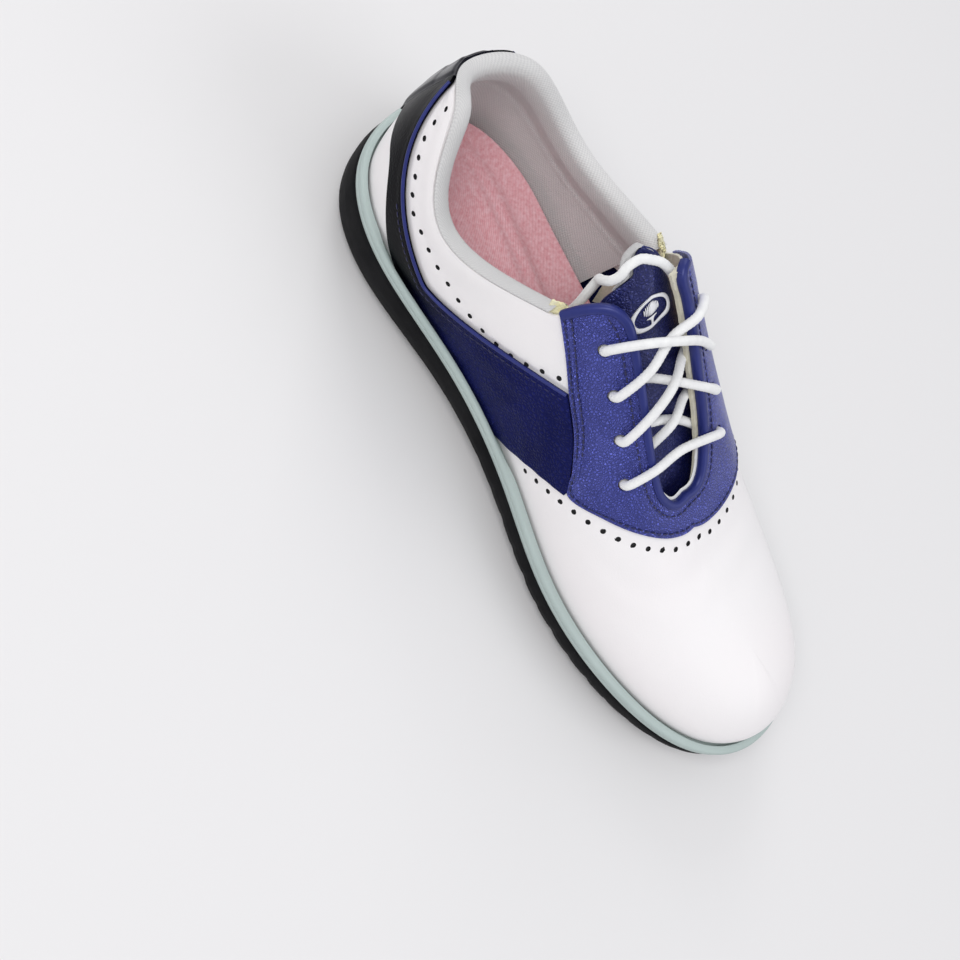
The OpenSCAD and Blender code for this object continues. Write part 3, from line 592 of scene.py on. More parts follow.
TAN = material("tan_board", (0.55, 0.33, 0.13), 0.8, (0.45, 0.26, 0.10), 4, 0.6, [("noise", 0.9, 0.12)])
FELT = material("felt", (0.27, 0.26, 0.235), 0.95, (0.34, 0.33, 0.30), 3, 0.8, [("noise", 0.6, 0.3)])
STEEL = material("steel", (0.55, 0.56, 0.58), 0.35, (0.48, 0.49, 0.51), 8, 0.5, [("noise", 0.9, 0.02)],
                 metallic=1.0)
STIFF = material("stiffener", (0.52, 0.47, 0.39), 0.75, (0.60, 0.55, 0.46), 5, 0.7, [("noise", 0.8, 0.1)])
PLASTIC = material("socket_plastic", (0.06, 0.06, 0.068), 0.5, (0.08, 0.08, 0.09), 5, 0.5,
                   [("noise", 0.9, 0.04)])

# ---- camera, light, floor



def aimed(name, data, x, y, z, at):
    """Put a camera or light at a point in metres, with its three axes."""
    obj = bpy.data.objects.new(name, data)
    bpy.context.scene.collection.objects.link(obj)
    m = np.eye(4)
    m[:3] = np.stack([x, y, z, at], 1)
    obj.matrix_world = Matrix(m.tolist())
    return obj


AZ, EL, ROLL = (math.radians(a) for a in (-16.0, 58.3, 74.4))
TARGET = np.array([0.0, -4.0, 50.0])
DISTANCE, SHIFT_ACROSS, SHIFT_UP = 514.0, 51.7, 19.5
back = np.array([math.sin(AZ) * math.cos(EL), -math.cos(AZ) * math.cos(EL), math.sin(EL)])
right = unit(np.cross([0, 0, 1.0], back))
upward = np.cross(back, right)
cam_x = math.cos(ROLL) * right + math.sin(ROLL) * upward
cam_y = -math.sin(ROLL) * right + math.cos(ROLL) * upward
cam_at = TARGET - SHIFT_ACROSS * cam_x - SHIFT_UP * cam_y + DISTANCE * back
camera_data = bpy.data.cameras.new("camera")
camera_data.sensor_width = 36.0
camera_data.lens = 54.6
camera_data.clip_start = 0.01
bpy.context.scene.camera = aimed("camera", camera_data, cam_x, cam_y, back, cam_at * MM)


def light(name, at, size, energy, color=(1, 1, 1)):
    """Soft area light at a point in metres, aimed at the shoe."""
    data = bpy.data.lights.new(name, "AREA")
    data.shape, data.size, data.energy, data.color = "SQUARE", size, energy, color
    z = unit(np.array(at, float) - [0, 0, 0.05])
    x = unit(np.cross([0, 0, 1.0] if abs(z[2]) < 0.95 else [0, 1.0, 0], z))
    aimed(name, data, x, np.cross(z, x), z, at)


light("key", (-0.35, -0.75, 1.25), 0.7, 9.5)
light("fill", (0.9, 0.35, 1.0), 0.9, 4.0, (0.96, 0.98, 1.0))
light("rim", (-1.0, 0.55, 0.7), 0.5, 3.0)
world = bpy.data.worlds.new("studio")
world.use_nodes = True
sky = world.node_tree.nodes["Background"].inputs
sky["Color"].default_value, sky["Strength"].default_value = (0.96, 0.965, 1.0, 1), 0.52
bpy.context.scene.world = world
bpy.context.scene.view_settings.view_transform = "Standard"

FLOOR = material("floor_paper", (0.80, 0.79, 0.79), 0.9, (0.81, 0.80, 0.80), 300, 0.3, [("noise", 2, 0.02)],
                 spec=0.1)
half_floor = 4.0
floor_mesh = bpy.data.meshes.new("floor")
floor_mesh.from_pydata([(x, y, 0) for x, y in ((-1, -1), (1, -1), (1, 1), (-1, 1))], [], [(0, 1, 2, 3)])
floor = bpy.data.objects.new("floor", floor_mesh)
floor.scale = (half_floor, half_floor, 1)
floor_mesh.materials.append(FLOOR)
bpy.context.scene.collection.objects.link(floor)

# ---- lace


def turn(side, i, back_out=False):
    """The lace's turn through an eyelet, from outside to inside: (q, w, distance)."""
    over, under = OVER[1] + LACE_D / 2 + 0.15, BOARD_IN - 0.9 - LACE_D / 2 - 0.25
    middle, r = (over + under) / 2, (over - under) / 2
    rows = []
    for a in (90, 30, -30, -90):
        x = r * (math.cos(math.radians(30)) - math.cos(math.radians(a))) / 85 * (1 if side == 0 else -1)
        rows.append((EYELET_Q[i], EYELET_W[side] + (-x if back_out and a < 0 else x),
                     middle + r * math.sin(math.radians(a))))
    return rows


LACE_PLACES = [
    *turn(0, 0, True)[::-1], (3.41, -0.20, 3.6), (3.52, -0.05, 4.4), (3.62, 0.11, 3.6), *turn(1, 1),
    (3.79, 0.09, -3.4), (3.89, -0.06, 1.8), (3.98, -0.20, 3.4), *turn(0, 2),
    (4.13, -0.25, -4.4), (4.20, -0.14, -4.2), (4.26, -0.05, -4.1), (4.33, 0.05, -4.2), (4.39, 0.14, -4.4),
    *turn(1, 3)[::-1],
    (4.46, 0.12, 3.3), (4.48, -0.04, 2.8), (4.46, -0.21, 3.4), *turn(0, 3),
    (4.38, -0.20, -4.0), (4.26, -0.05, -0.2), (4.14, 0.09, -4.0), *turn(1, 2)[::-1],
    (4.01, 0.12, 3.2), (3.89, -0.06, -2.0), (3.78, -0.20, -4.3), *turn(0, 1)[::-1],
    (3.63, -0.20, 3.4), (3.52, -0.05, 0.8), (3.42, 0.10, 3.4), *turn(1, 0),
]
lace_knots = np.array([off(q, w, d) for q, w, d in LACE_PLACES])
LATERAL_END = [lace_knots[0], (-33, -25.3, 76.5), (-36, -26.2, 64), (-38, -26.5, 51), (-37, -26.6, 40),
               (-27, -24.2, 30.2), (-5, -22.6, 28.6), (18, -22.2, 27.3), (42, -21.5, 26.9)]
MEDIAL_PLACES = [(3.27, 0.20, -4.5), (3.18, 0.19, -4.5), (3.10, 0.14, -4.4), (3.02, 0.06, -4.3),
                 (2.93, -0.005, -3.8), (2.87, -0.075, -3.7), (2.83, -0.14, -3.7), (2.845, -0.205, -3.8),
                 (2.89, -0.25, -4.2), (2.905, -0.294, -5.4), (2.905, -0.325, -7.8), (2.905, -0.355, -10.8),
                 (2.92, -0.385, -14.2)]
MEDIAL_END = [lace_knots[-1], *[off(q, w, d) for q, w, d in MEDIAL_PLACES],
              (-48, -16.5, 76), (-46, -16.5, 67), (-43.5, -17.5, 58), (-40, -18.5, 46), (-34, -18, 34.5),
              (-20, -17, 30.3), (-4, -16.2, 28.4), (18, -15, 26.9), (42, -15, 26), (64, -13, 26.1)]


def braid(name, p, stands_for, d=LACE_D):
    """Round braided cotton lace along a line."""
    step = 0.3
    p = even(p, step)
    _, side, up = carried(p)
    sides = 24
    a = circle(sides)[None, :]
    s = (np.arange(len(p)) * step)[:, None]
    r = d / 2 * (0.955 + 0.045 * np.cos(6 * a) * np.cos(2 * np.pi * s / 1.5)) \
        * (1 + 0.015 * np.sin(s / 7.0) + 0.01 * np.sin(s / 2.3 + a))
    rings = tube(p, side, up, r, sides)
    return loft(name, rings, COTTON, "lace_white", stands_for=stands_for, sharp=80), p


def aglet(name, p, node):
    """Clear sleeve crimped on a lace tip."""
    length = 20.0
    t = unit(p[-1] - p[-4])
    line = p[-1] + t * np.linspace(-0.6, length, 60)[:, None]
    _, side, up = carried(line)
    x = np.linspace(0, 1, 60)
    r = 1.45 * np.minimum(1, np.sqrt(np.clip((1 - x) * 14, 0, 1)) * 0.35 + 0.65)
    r = r - 0.12 * gauss(x - 0.12, 0.02) - 0.12 * gauss(x - 0.2, 0.02)
    return loft(name, tube(line, side, up, r[:, None], 28), AGLET, "aglet_clear", stands_for=[node])


braid("lace_laced", spline(lace_knots, 10), ["lace"])
for label, knots in (("lateral", LATERAL_END), ("medial", MEDIAL_END)):
    line = spline(np.array(knots, float), 12)
    piece, path = braid(f"lace_free_{label}", line, [f"lace_end_{label}"])
    tip = aglet(f"lace_tip_{label}", path, f"aglet_{label}")

# ---- white leather


def saddle_front(v):
    v = v - 0.5 * np.maximum(v - 0.88, 0)**2 / 0.12
    return 3.6 + 2.4 * v - 0.55 * v**2


def collar(q, side):
    """|w| of the collar's edge."""
    return 1 - smooth(TOPLINE, np.where(side < 0, q, (16 - q) % 16))


def band_top(q):
    return 1 - (0.105 + 0.15 * np.maximum(2.3 - q, 0)**1.15 + 0.325 * (np.maximum(q - 2.3, 0) / 1.22)**1.5)


def band_low(q):
    return 1 - 0.19 * ease((2.25 - q) / 1.2)


def toe_grid(rear, rows, cols):
    w = np.linspace(-1, 1, cols)[None, :]
    r = np.linspace(0, 1, rows)[:, None]
    return mix(rear(1 - np.abs(w)), 8.0, r), np.broadcast_to(w, (rows, cols))


def dimpled(points, centres, radius, depth):
    """How far each point sinks round the punched holes."""
    sink = np.zeros(points.shape[:2])
    for c in centres:
        sink = np.maximum(sink, gauss(np.linalg.norm(points - c, axis=2), radius) * depth)
    return sink


SADDLE_HOLES = [(saddle_front(v) + 0.15, v - 1) for v in np.linspace(0.10, 1, 30)] \
    + [(saddle_front(v) + 0.15, 1 - v) for v in np.linspace(0.97, 0.10, 30)]
q, w = toe_grid(lambda v: saddle_front(v) - 0.17, 150, 241)
p, n = place(q, w)
holes, hole_normals, _ = trail(SADDLE_HOLES, 6.2, curved=False)
front_dist = (q - saddle_front(1 - np.abs(w))) * STATION_MM
sink = dimpled(p, holes, 1.9, 0.28) + 0.35 * ease((1.6 - front_dist) / 1.6) * ease((front_dist + 6) / 2)
creases = 0.18 * np.sin(front_dist / 2.6 + 2.0 * np.sin(w * 5)) * gauss(front_dist - 16, 11) \
    * ease((0.8 - np.abs(w)) / 0.3)
vamp = layer("vamp_leather", q, w, creases - sink, LEATHER, WHITE, "white_leather", zipped=True,
             stands_for=["vamp"])
rounded(vamp, 0.35)
cut(vamp, holes, hole_normals, PUNCH_D, blind=PUNCH_DEEP, shade_lining=PUNCH_SHADE)

QUARTER_HOLES = [(0.87, 0.41), (1.0, 0.35), (1.18, 0.31), (1.37, 0.28), (1.55, 0.24), (1.73, 0.21),
                 (1.92, 0.205), (2.1, 0.195), (2.27, 0.19), (2.42, 0.19), (2.58, 0.19), (2.73, 0.20),
                 (2.87, 0.215), (3.0, 0.24), (3.13, 0.28), (3.25, 0.34), (3.38, 0.41)]
SADDLE_REAR = [(2.94, 0.49), (3.20, 0.52), (3.52, 0.56), (3.85, 0.585), (4.12, 0.63)]
for side, label in ((-1, "lateral"), (1, "medial")):
    rows, cols = 240, 70
    q = np.linspace(0.36, 3.7, rows)[:, None]
    rear = np.interp(q, [r[0] for r in SADDLE_REAR], [r[1] for r in SADDLE_REAR]) - 0.06
    top = mix(mix(1.0, collar(q, side), 0.985), rear, ease((q - COLLAR_END) / 0.12))
    low = np.maximum(band_top(q) + 0.033, top + 0.006)
    j = np.linspace(0, 1, cols)[None, :]
    w = side * mix(low, top, j)
    q = np.broadcast_to(q, w.shape)
    p, n = place(q, w)
    spots = spline([(a, side * (1 - b)) for a, b in QUARTER_HOLES], 8)
    holes, hole_normals, _ = trail(spots, 6.4, curved=False)
    edge = (band_top(q) - np.abs(w)) * GIRTH_MM
    sink = dimpled(p, holes, 1.9, 0.25) + 0.3 * ease((1.5 - edge) / 1.5)
    pad = 0.7 * ease((j - 0.55) / 0.35) * ease((2.8 - q) / 0.4) * ease((q - 0.45) / 0.3)
    quarter = layer(f"quarter_leather_{label}", q, w, pad - sink, LEATHER, WHITE, "white_leather",
                    stands_for=[f"quarter_{label}"])
    rounded(quarter, 0.35)
    cut(quarter, holes, hole_normals, PUNCH_D, blind=PUNCH_DEEP, shade_lining=PUNCH_SHADE)

    q = np.linspace(0.004, 2.2, 130)[:, None]
    w = side * mix(1.0, band_low(q) - 0.033, np.linspace(0, 1, 34)[None, :])
    rounded(layer(f"heel_leather_{label}", q, w, 0.10 * np.sin(q * 9), LEATHER, WHITE, "white_leather",
                  stands_for=[f"heel_panel_{label}"]), 0.3)

# ---- saddle, binding, facings

THROAT = [(3.10, -0.29), (3.30, -0.255), (3.62, -0.25), (3.95, -0.24), (4.22, -0.23), (4.48, -0.21),
          (4.74, -0.18), (4.90, -0.13), (4.98, -0.08), (5.00, -0.03), (4.98, 0.02), (4.90, 0.07),
          (4.74, 0.11), (4.48, 0.135), (4.22, 0.14), (3.95, 0.13), (3.62, 0.115), (3.30, 0.09), (3.04, 0.05)]
FRONT_HEIGHTS = [0.32, 0.49, 0.68, 0.86]
SADDLE_EDGE = [(a, -b) for a, b in SADDLE_REAR] + [(saddle_front(v), v - 1) for v in FRONT_HEIGHTS] \
    + [(saddle_front(1), 0)] + [(saddle_front(v), 1 - v) for v in FRONT_HEIGHTS[::-1]] \
    + [(a, b) for a, b in SADDLE_REAR[::-1]]
LAST = len(THROAT) - 1


def edge_curve(places, corners, n):
    """Line through places, curved between the corners."""
    stops = [0, *corners, len(places) - 1]
    parts = [spline(places[a:b + 1], n) for a, b in zip(stops, stops[1:])]
    return np.vstack([part[:-1] for part in parts[:-1]] + [parts[-1]])


fine = 16
inner_line = edge_curve(THROAT, [], fine)
outer_line = edge_curve(SADDLE_EDGE, [4, 14], fine)
index = np.arange(len(inner_line)) / fine
k = np.linspace(0, 1, 64)[None, :, None]
grid = inner_line[:, None] * (1 - k) + outer_line[:, None] * k
p, n = place(grid[..., 0], grid[..., 1])
from_throat = widths(p, 1)
from_edge = from_throat[:, -1:] - from_throat
rear = np.maximum(1 - ease((index - 4) / 0.5), ease((index - LAST + 4.5) / 0.5))[:, None]
eyelet_points, eyelet_normals = [], []
for side in (0, 1):
    a, b = place(np.array(EYELET_Q), np.full(4, EYELET_W[side]))
    eyelet_points.append(a)
    eyelet_normals.append(b)
eyelet_points, eyelet_normals = np.vstack(eyelet_points), np.vstack(eyelet_normals)
high = OVER[1] + 0.5 * rear * ease((5.2 - from_edge) / 0.9)
high = high - rear * 0.42 * (gauss(from_edge - 1.3, 0.5) + gauss(from_edge - 3.7, 0.5))
high = high - (1 - rear) * 0.3 * gauss(from_edge - 1.6, 0.5) - 0.3 * gauss(from_throat - 4.3, 0.5)
high = high - dimpled(p, eyelet_points, 3.2, 0.55) + 0.12 * np.sin(from_throat / 3.1 + index[:, None] * 1.7)
saddle = layer("saddle_leather", grid[..., 0], grid[..., 1], high, OVER[0], NAVY, "navy_leather",
               stands_for=["saddle"])
rounded(saddle, 0.4, 3)
cut(saddle, eyelet_points, eyelet_normals, EYELET_D)


def inset(rows, distance, of, d):
    """Line of points inside the saddle's grid at a distance from one of its edges."""
    at = []
    for i in rows:
        order = np.argsort(of[i])
        at.append([np.interp(distance, of[i][order], grid[i, order, c]) for c in (0, 1)])
    line, normals = place(*np.array(at).T)
    return line + normals * d, normals


def stitched(line, normals, pitch):
    """Points, normals and tangents a stitch apart along a line."""
    s = travelled(line)
    at = np.linspace(0, s[-1], max(3, int(s[-1] / pitch) + 1))
    p = sampled(line, s, at)
    return p, unit(sampled(normals, s, at)), unit(np.gradient(p, axis=0))


rows_front = range(4 * fine + 4, 14 * fine - 3)
rows_rear = (range(3, 4 * fine - 6), range(14 * fine + 7, LAST * fine - 2))
front_row = stitched(*inset(rows_front, 1.6, from_edge, OVER[1] - 0.12), 2.7)
rear_rows = [stitched(*inset(r, d, from_edge, OVER[1] + 0.34), 2.4) for r in rows_rear for d in (1.3, 3.7)]
throat_row = stitched(*inset(range(6, LAST * fine - 6), 4.3, from_throat, OVER[1] - 0.12), 2.7)
stitches("saddle_stitching", [front_row, *rear_rows, throat_row], THREAD, "navy_binding")

BIND_LINE = [(2.94, -0.488), (2.965, -0.42), (3.01, -0.355), (3.075, -0.305), (3.17, -0.272), *THROAT[1:-1],
             (3.12, 0.062), (3.03, 0.08), (2.985, 0.125)]
p, n, t = trail(BIND_LINE, 0.8)
across = unit(np.cross(n, t))
middle = off(np.array([4.2]), np.array([-0.04]), np.array([0.0]))[0]
if np.dot(across[len(p) // 3], middle - p[len(p) // 3]) < 0:
    across = -across
BIND_PROFILE = [(-1.75, 1.42), (-1.8, 1.7), (-1.45, 2.02), (-0.6, 2.2), (0.3, 2.15), (0.95, 1.85), (1.3, 1.2),
                (1.38, 0.2), (1.25, -0.75), (0.85, -1.1), (0.3, -1.0), (0.12, -0.2), (0.10, 1.2),
                (-0.5, 1.42)]
sweep("throat_piping", p, across, n, BIND_PROFILE, BINDING, "navy_binding",
      stands_for=["throat_binding"], sharp=60)

for side, label in ((-1, "lateral"), (1, "medial")):
    lower = [(2.93, 0.50), (2.93, 0.62), (2.93, 0.74), (2.95, 0.86), (3.05, 0.96)]
    outer_edge = spline([(a, side * b) for a, b in lower], 2 * fine)
    inner_edge = spline([THROAT[i if side < 0 else LAST - i] for i in range(9)], fine)
    steps = np.linspace(0, 1.02, 46)[:, None, None]
    places = outer_edge[None] * (1 - steps) + inner_edge[None] * steps
    p, n = place(places[..., 0], places[..., 1])
    share = steps[..., 0]
    face = mix(BOARD_IN, -0.15, ease((share - 0.7) / 0.15))
    fuzz = rng.normal(0, 0.10, p.shape[:2])
    run = np.linspace(0, 1, p.shape[1])[None, :]
    fall = ease((run - 0.06) / 0.10) * 0.45 if side < 0 else 1 - 0.65 * ease((run - 0.75) / 0.25)
    reach = unit(np.gradient(p, axis=0)) * (1.9 * ease((share - 0.93) / 0.07) * fall)[..., None]
    low = np.full_like(face, BOARD_IN - 0.9)
    edge_drop = -1.1 * ease((share - 0.95) / 0.05)
    facing = plate(f"facing_{label}", p + reach + n * (face + edge_drop + fuzz)[..., None],
                   p + reach + n * (low + fuzz * 0.5)[..., None], CREAM, "facing_cream",
                   stands_for=[f"facing_lining_{label}"], sharp=60)
    cut(facing, eyelet_points[:4] if side < 0 else eyelet_points[4:],
        eyelet_normals[:4] if side < 0 else eyelet_normals[4:], EYELET_D, sharp=60)

# thin white edge of the vamp lining that shows round the front of the throat
p, n, t = trail(THROAT[5:14], 0.8, d=-1.5)
across = unit(np.cross(n, t))
if np.dot(across[len(p) // 2], middle - p[len(p) // 2]) < 0:
    across = -across
sweep("throat_welt", p, across, n, [(0.2, 0.5), (1.6, 0.5), (2.1, 0.1), (1.6, -0.4), (0.2, -0.4)], COTTON,
      "lining_grey", sharp=60)

# ---- bands, heel tab, piping

STOPS = np.linspace(0.395, 3.52, 32)
TAIL_UPPER = [(3.66, 0.580), (3.88, 0.598), (4.10, 0.637), (4.27, 0.682)]
TAIL_LOWER = [(3.60, 0.99), (3.83, 0.90), (4.06, 0.80), (4.28, 0.70)]
piping_rows = []
for side, label in ((-1, "lateral"), (1, "medial")):
    rim_w = np.maximum(band_top(STOPS), collar(STOPS, side) + 0.004)
    upper = [(s, side * b) for s, b in zip(STOPS, rim_w)] + [(a, side * b) for a, b in TAIL_UPPER]
    lower = [(s, side * band_low(s)) for s in STOPS] + [(a, side * b) for a, b in TAIL_LOWER]
    last = len(STOPS)
    lines = [np.vstack([spline(line[:last], 7)[:-1], spline(line[last - 1:], 18)]) for line in (upper, lower)]
    k = np.linspace(0, 1, 44)[None, :, None]
    places = lines[0][:, None] * (1 - k) + lines[1][:, None] * k
    across_len = widths(place(places[..., 0], places[..., 1])[0], 1)
    along_q = places[..., 0]
    drift = across_len + 2.2 * np.sin(along_q * 2.3 + 1) + 1.1 * np.sin(along_q * 7.1)
    wrinkle = 0.10 * np.sin(drift / 1.7) + 0.09 * np.sin(drift / 2.9 + along_q * 9)
    wrinkle = wrinkle * ease((along_q - 1.5) / 0.8)
    high = OVER[1] + 0.15 * gauss(across_len - 2, 2) + wrinkle * ease(across_len / 3)
    rounded(layer(f"band_leather_{label}", along_q, places[..., 1], high, OVER[0], NAVY_DARK, "navy_leather",
                  stands_for=[f"side_band_{label}"]), 0.4, 3)
    bare_stops = STOPS[band_top(STOPS) > collar(STOPS, side) + 0.006]
    pipe, pipe_n, pipe_t = trail([(s, side * (band_top(s) + 0.004)) for s in bare_stops], 0.8, d=1.25)
    loft(f"band_piping_{label}", tube(pipe, np.cross(pipe_n, pipe_t), pipe_n, 0.62, 12), BINDING,
         "navy_binding", sharp=80)
    piping_rows.append(trail([(s, side * (band_top(s) + 0.030)) for s in STOPS[12:]], 2.7, d=OVER[1] + 0.12))
stitches("band_stitching", piping_rows, THREAD, "navy_binding", radius=0.2)


def heel_grid(reach, rows, cols, lower, upper):
    """Places round the back of the heel, from medial to lateral."""
    a = np.linspace(-reach, reach, rows)[:, None]
    side = np.where(a < 0, 1.0, -1.0)
    q = np.abs(a)
    j = np.linspace(0, 1, cols)[None, :]
    w = side * mix(lower, mix(1.0, collar(q, side), upper), j)
    return np.broadcast_to(q, w.shape), w, j


q, w, j = heel_grid(0.41, 90, 90, 0.84, 1.0)
rim = np.minimum(ease((0.41 - q) / 0.10), ease(j / 0.10)) * ease((1 - j) / 0.05)
spine = 0.35 * gauss(q, 0.06) * ease(j / 0.2)
facet = -0.25 * ease((j - 0.60) / 0.08) + 0.2 * ease((j - 0.74) / 0.2)
high = 1.45 + 0.65 * rim + spine + facet * rim
layer("heel_tab_moulding", q, w, high, OVER[0], GLOSS, "navy_gloss", stands_for=["heel_tab"], sharp=30)

# ---- hidden stiffeners and linings

q, w, _ = heel_grid(2.4, 120, 24, 0.98, 0.60)
layer("counter", q, w, BOARD_IN, BOARD_IN - 0.85, STIFF, "counter_board", stands_for=["heel_counter"])
layer("toe_stiffener", np.linspace(6.5, 8, 40)[:, None], np.linspace(-1, 1, 121)[None, :], BOARD_IN,
      BOARD_IN - 0.65, STIFF, "counter_board", zipped=True, stands_for=["toe_puff"])
layer("vamp_inner", *toe_grid(lambda v: 3.7 + 1.55 * v, 90, 161), BOARD_IN - 1.0, BOARD_IN - 1.75, LINING,
      "lining_grey", zipped=True, stands_for=["vamp_lining"])

# ---- padded collar

FOAM_FACE = [(0.66, 0.5), (0.75, 2.2), (0.84, 3.6), (0.93, 3.6), (0.985, 2.2)]
LINING_BACK = [(0.994, -1.1), (0.999, -1.3), (1.004, -1.6), (1.010, -2.2), (1.008, -3.2), (1.000, -4.2),
               (0.950, -5.5), (0.840, -5.6), (0.740, -4.2),
               (0.620, -3.0), (0.300, -2.9), (0.060, -2.9)]
LINING_FACE = [(0.992, -0.9), (0.996, 0.2), (1.016, 0.6), (1.040, -0.4), (1.052, -2.4), (1.035, -4.8),
               (0.975, -6.3), (0.835, -6.4), (0.725, -5.0),
               (0.610, -3.8), (0.300, -3.7), (0.060, -3.7)]
a = np.linspace(-(COLLAR_END - 0.04), COLLAR_END - 0.04, 330)[:, None]
side = np.where(a < 0, 1.0, -1.0)
q = np.abs(a)
top = collar(q, side)


def collar_sheet(profile, per):
    prof = spline(profile, per)
    share, d = prof[None, :, 0], prof[None, :, 1]
    return share, d, *place(np.broadcast_to(q, (len(q), len(prof))), side * mix(1.0, top, share))


share, d, p, n = collar_sheet([(f[0], BOARD_IN) for f in FOAM_FACE], 6)
_, deep, _, _ = collar_sheet([(f[0], BOARD_IN - f[1]) for f in FOAM_FACE], 6)
plate("collar_padding", p + n * d[..., None], p + n * deep[..., None], FOAM, "collar_foam",
      stands_for=["collar_foam"])
share, d, p, n = collar_sheet(LINING_FACE, 10)
arc = a * 34
pucker = 0.10 * np.sin(arc / 1.6 + 1.5 * np.sin(arc / 9)) * gauss(share - 0.62, 0.05)
roll = 0.25 * np.sin(arc / 11 + 1.0) * gauss(share - 0.95, 0.12) - 0.30 * gauss(share - 0.585, 0.016)
face = p + n * (d + pucker + roll)[..., None]
share, d, p, n = collar_sheet(LINING_BACK, 10)
collar_piece = plate("collar_cloth", face, p + n * d[..., None], COLLAR, "lining_grey",
                     stands_for=["collar_lining"], sharp=70)


def frayed(name, at, normal, ahead, size, seed, taper=0.75):
    """Torn tuft of raw foam: an irregular flap."""
    r = np.random.default_rng(seed)
    rows, cols = 26, 26
    u = np.linspace(-1, 1, rows)[:, None]
    v = np.linspace(0, 1, cols)[None, :]
    side_dir = unit(np.cross(normal, ahead))
    width = size[1] * (1 - taper * v**1.3)
    ragged = 1 + 0.10 * np.sin(7 * u + 4 * v) + 0.08 * r.normal(0, 1, (rows, cols))
    base = at + side_dir * (u * width * ragged)[..., None] + ahead * (v * size[0] * ragged)[..., None]
    lift = 0.9 * np.sin(3 * u + 2) * v + r.normal(0, 0.16, (rows, cols))
    thick = size[2] * (1 - 0.6 * v) * np.sqrt(np.clip(1.02 - u**2, 0.02, 1)) + r.normal(0, 0.1, (rows, cols))
    top_p = base + normal * (lift + thick)[..., None]
    low_p = base + normal * (lift - thick * 0.6)[..., None]
    return plate(name, top_p, low_p, FOAM, "collar_foam", sharp=80)


p, n = place(np.array([2.93, 2.93]), np.array([-0.53, 0.50]))
frayed("foam_flap_lateral", p[0] + n[0] * -1.6 + np.array([-3.0, 0, 0]), n[0],
       unit(np.array([0.72, 0.55, 0.30])), (11.0, 3.4, 1.1), 3)
frayed("foam_tuft_medial", p[1] + n[1] * -2.0 + np.array([-3.5, 0, 0]), n[1],
       unit(np.array([0.5, -0.62, 0.5])), (5.0, 5.0, 1.4), 5, 0.35)

# ---- tongue

TONGUE_OUT, TONGUE_T, TONGUE_PAD = -6.5, 1.1, 3.0
TONGUE_EDGE = [(2.76, -0.17, -0.07), (2.80, -0.22, -0.02), (2.88, -0.25, 0.03), (2.97, -0.27, 0.075),
               (3.02, -0.36, 0.10), (3.07, -0.395, 0.13), (3.18, -0.40, 0.20), (3.35, -0.40, 0.28),
               (3.70, -0.40, 0.32), (4.10, -0.39, 0.33), (4.50, -0.37, 0.31), (4.85, -0.33, 0.27),
               (5.10, -0.28, 0.23)]
line = spline(TONGUE_EDGE, 14)
j = np.linspace(0, 1, 91)[None, :]
q = np.broadcast_to(line[:, :1], (len(line), 91))


def curl(q):
    return 0.7 * ease((2.92 - q) / 0.18)


bare = 0.075 * ease((3.02 - q) / 0.06)
w = mix(line[:, 1:2] + bare, line[:, 2:3], j)
swell = 0.35 * np.sin(5.5 * w + 3.1 * q) + 0.14 * np.sin(29 * w + 11 * q) + 0.10 * np.sin(17 * q + 8 * w)
face = TONGUE_OUT + curl(q) + swell * ease((q - 2.85) / 0.25) * 0.6
tongue = layer("tongue_face", q, w, face, TONGUE_OUT - TONGUE_T + curl(q), NAVY_TONGUE, "navy_leather",
               body="tongue", stands_for=["tongue_leather"])
rounded(tongue, 0.35)
lateral_edge = np.maximum(line[:, 1:2], -0.31)
w = mix(lateral_edge, line[:, 2:3], j)
rim = np.sqrt(np.clip(1 - np.abs(2 * j - 1)**6, 0.0, 1))
rim = rim * np.sqrt(np.clip(ease((q - 2.76) / 0.05) + 0.05, 0, 1))
pad_low = TONGUE_OUT - TONGUE_T - 0.2 - TONGUE_PAD * (0.35 + 0.65 * rim)
shown = ease((lateral_edge + bare - 0.012 - w) / 0.018) * ease((3.02 - q) / 0.06)
crown = 1.35 * shown * np.sqrt(np.clip(ease((w - lateral_edge) / 0.03) + 0.02, 0, 1))
pad = layer("tongue_padding", q, w, TONGUE_OUT - TONGUE_T - 0.2 + curl(q) + crown, pad_low + curl(q), LINING,
            "lining_grey", body="tongue", stands_for=["tongue_lining"], sharp=60)

EDGING = [(a, b) for a, b, _ in TONGUE_EDGE[3::-1]] + [(2.745, -0.12)] \
    + [(a, c) for a, _, c in TONGUE_EDGE[:8]]
p, n, t = trail(EDGING, 0.8)
outward = -unit(np.cross(n, t))
centre = off(np.array([3.1]), np.array([-0.1]), np.array([0.0]))[0]
if np.dot(outward[len(p) // 4], p[len(p) // 4] - centre) < 0:
    outward = -outward
bend = np.array([0.7 * float(ease((x - 46.5) / 5)) for x in -p[:, 0]])[:, None]
sweep("tongue_edging", p + n * (bend - 8.6), outward, n,
      [(-0.7, 1.9), (-0.1, 1.75), (0.15, 0.9), (0.2, -0.3), (0.0, -1.5), (-0.4, -2.1), (-1.0, -2.0),
       (-1.1, 0)],
      LINING, "lining_grey", body="tongue", sharp=60)

# embroidered badge: a ring, a ball and a tee in satin stitch
BADGE_Q, BADGE_W = 3.33, -0.088
probe = off(np.array([BADGE_Q - 0.05, BADGE_Q + 0.05, BADGE_Q, BADGE_Q]),
            np.array([BADGE_W, BADGE_W, BADGE_W - 0.02, BADGE_W + 0.02]), np.full(4, TONGUE_OUT))
per_q = 0.1 / np.linalg.norm(probe[1] - probe[0])
per_w = 0.04 / np.linalg.norm(probe[3] - probe[2])


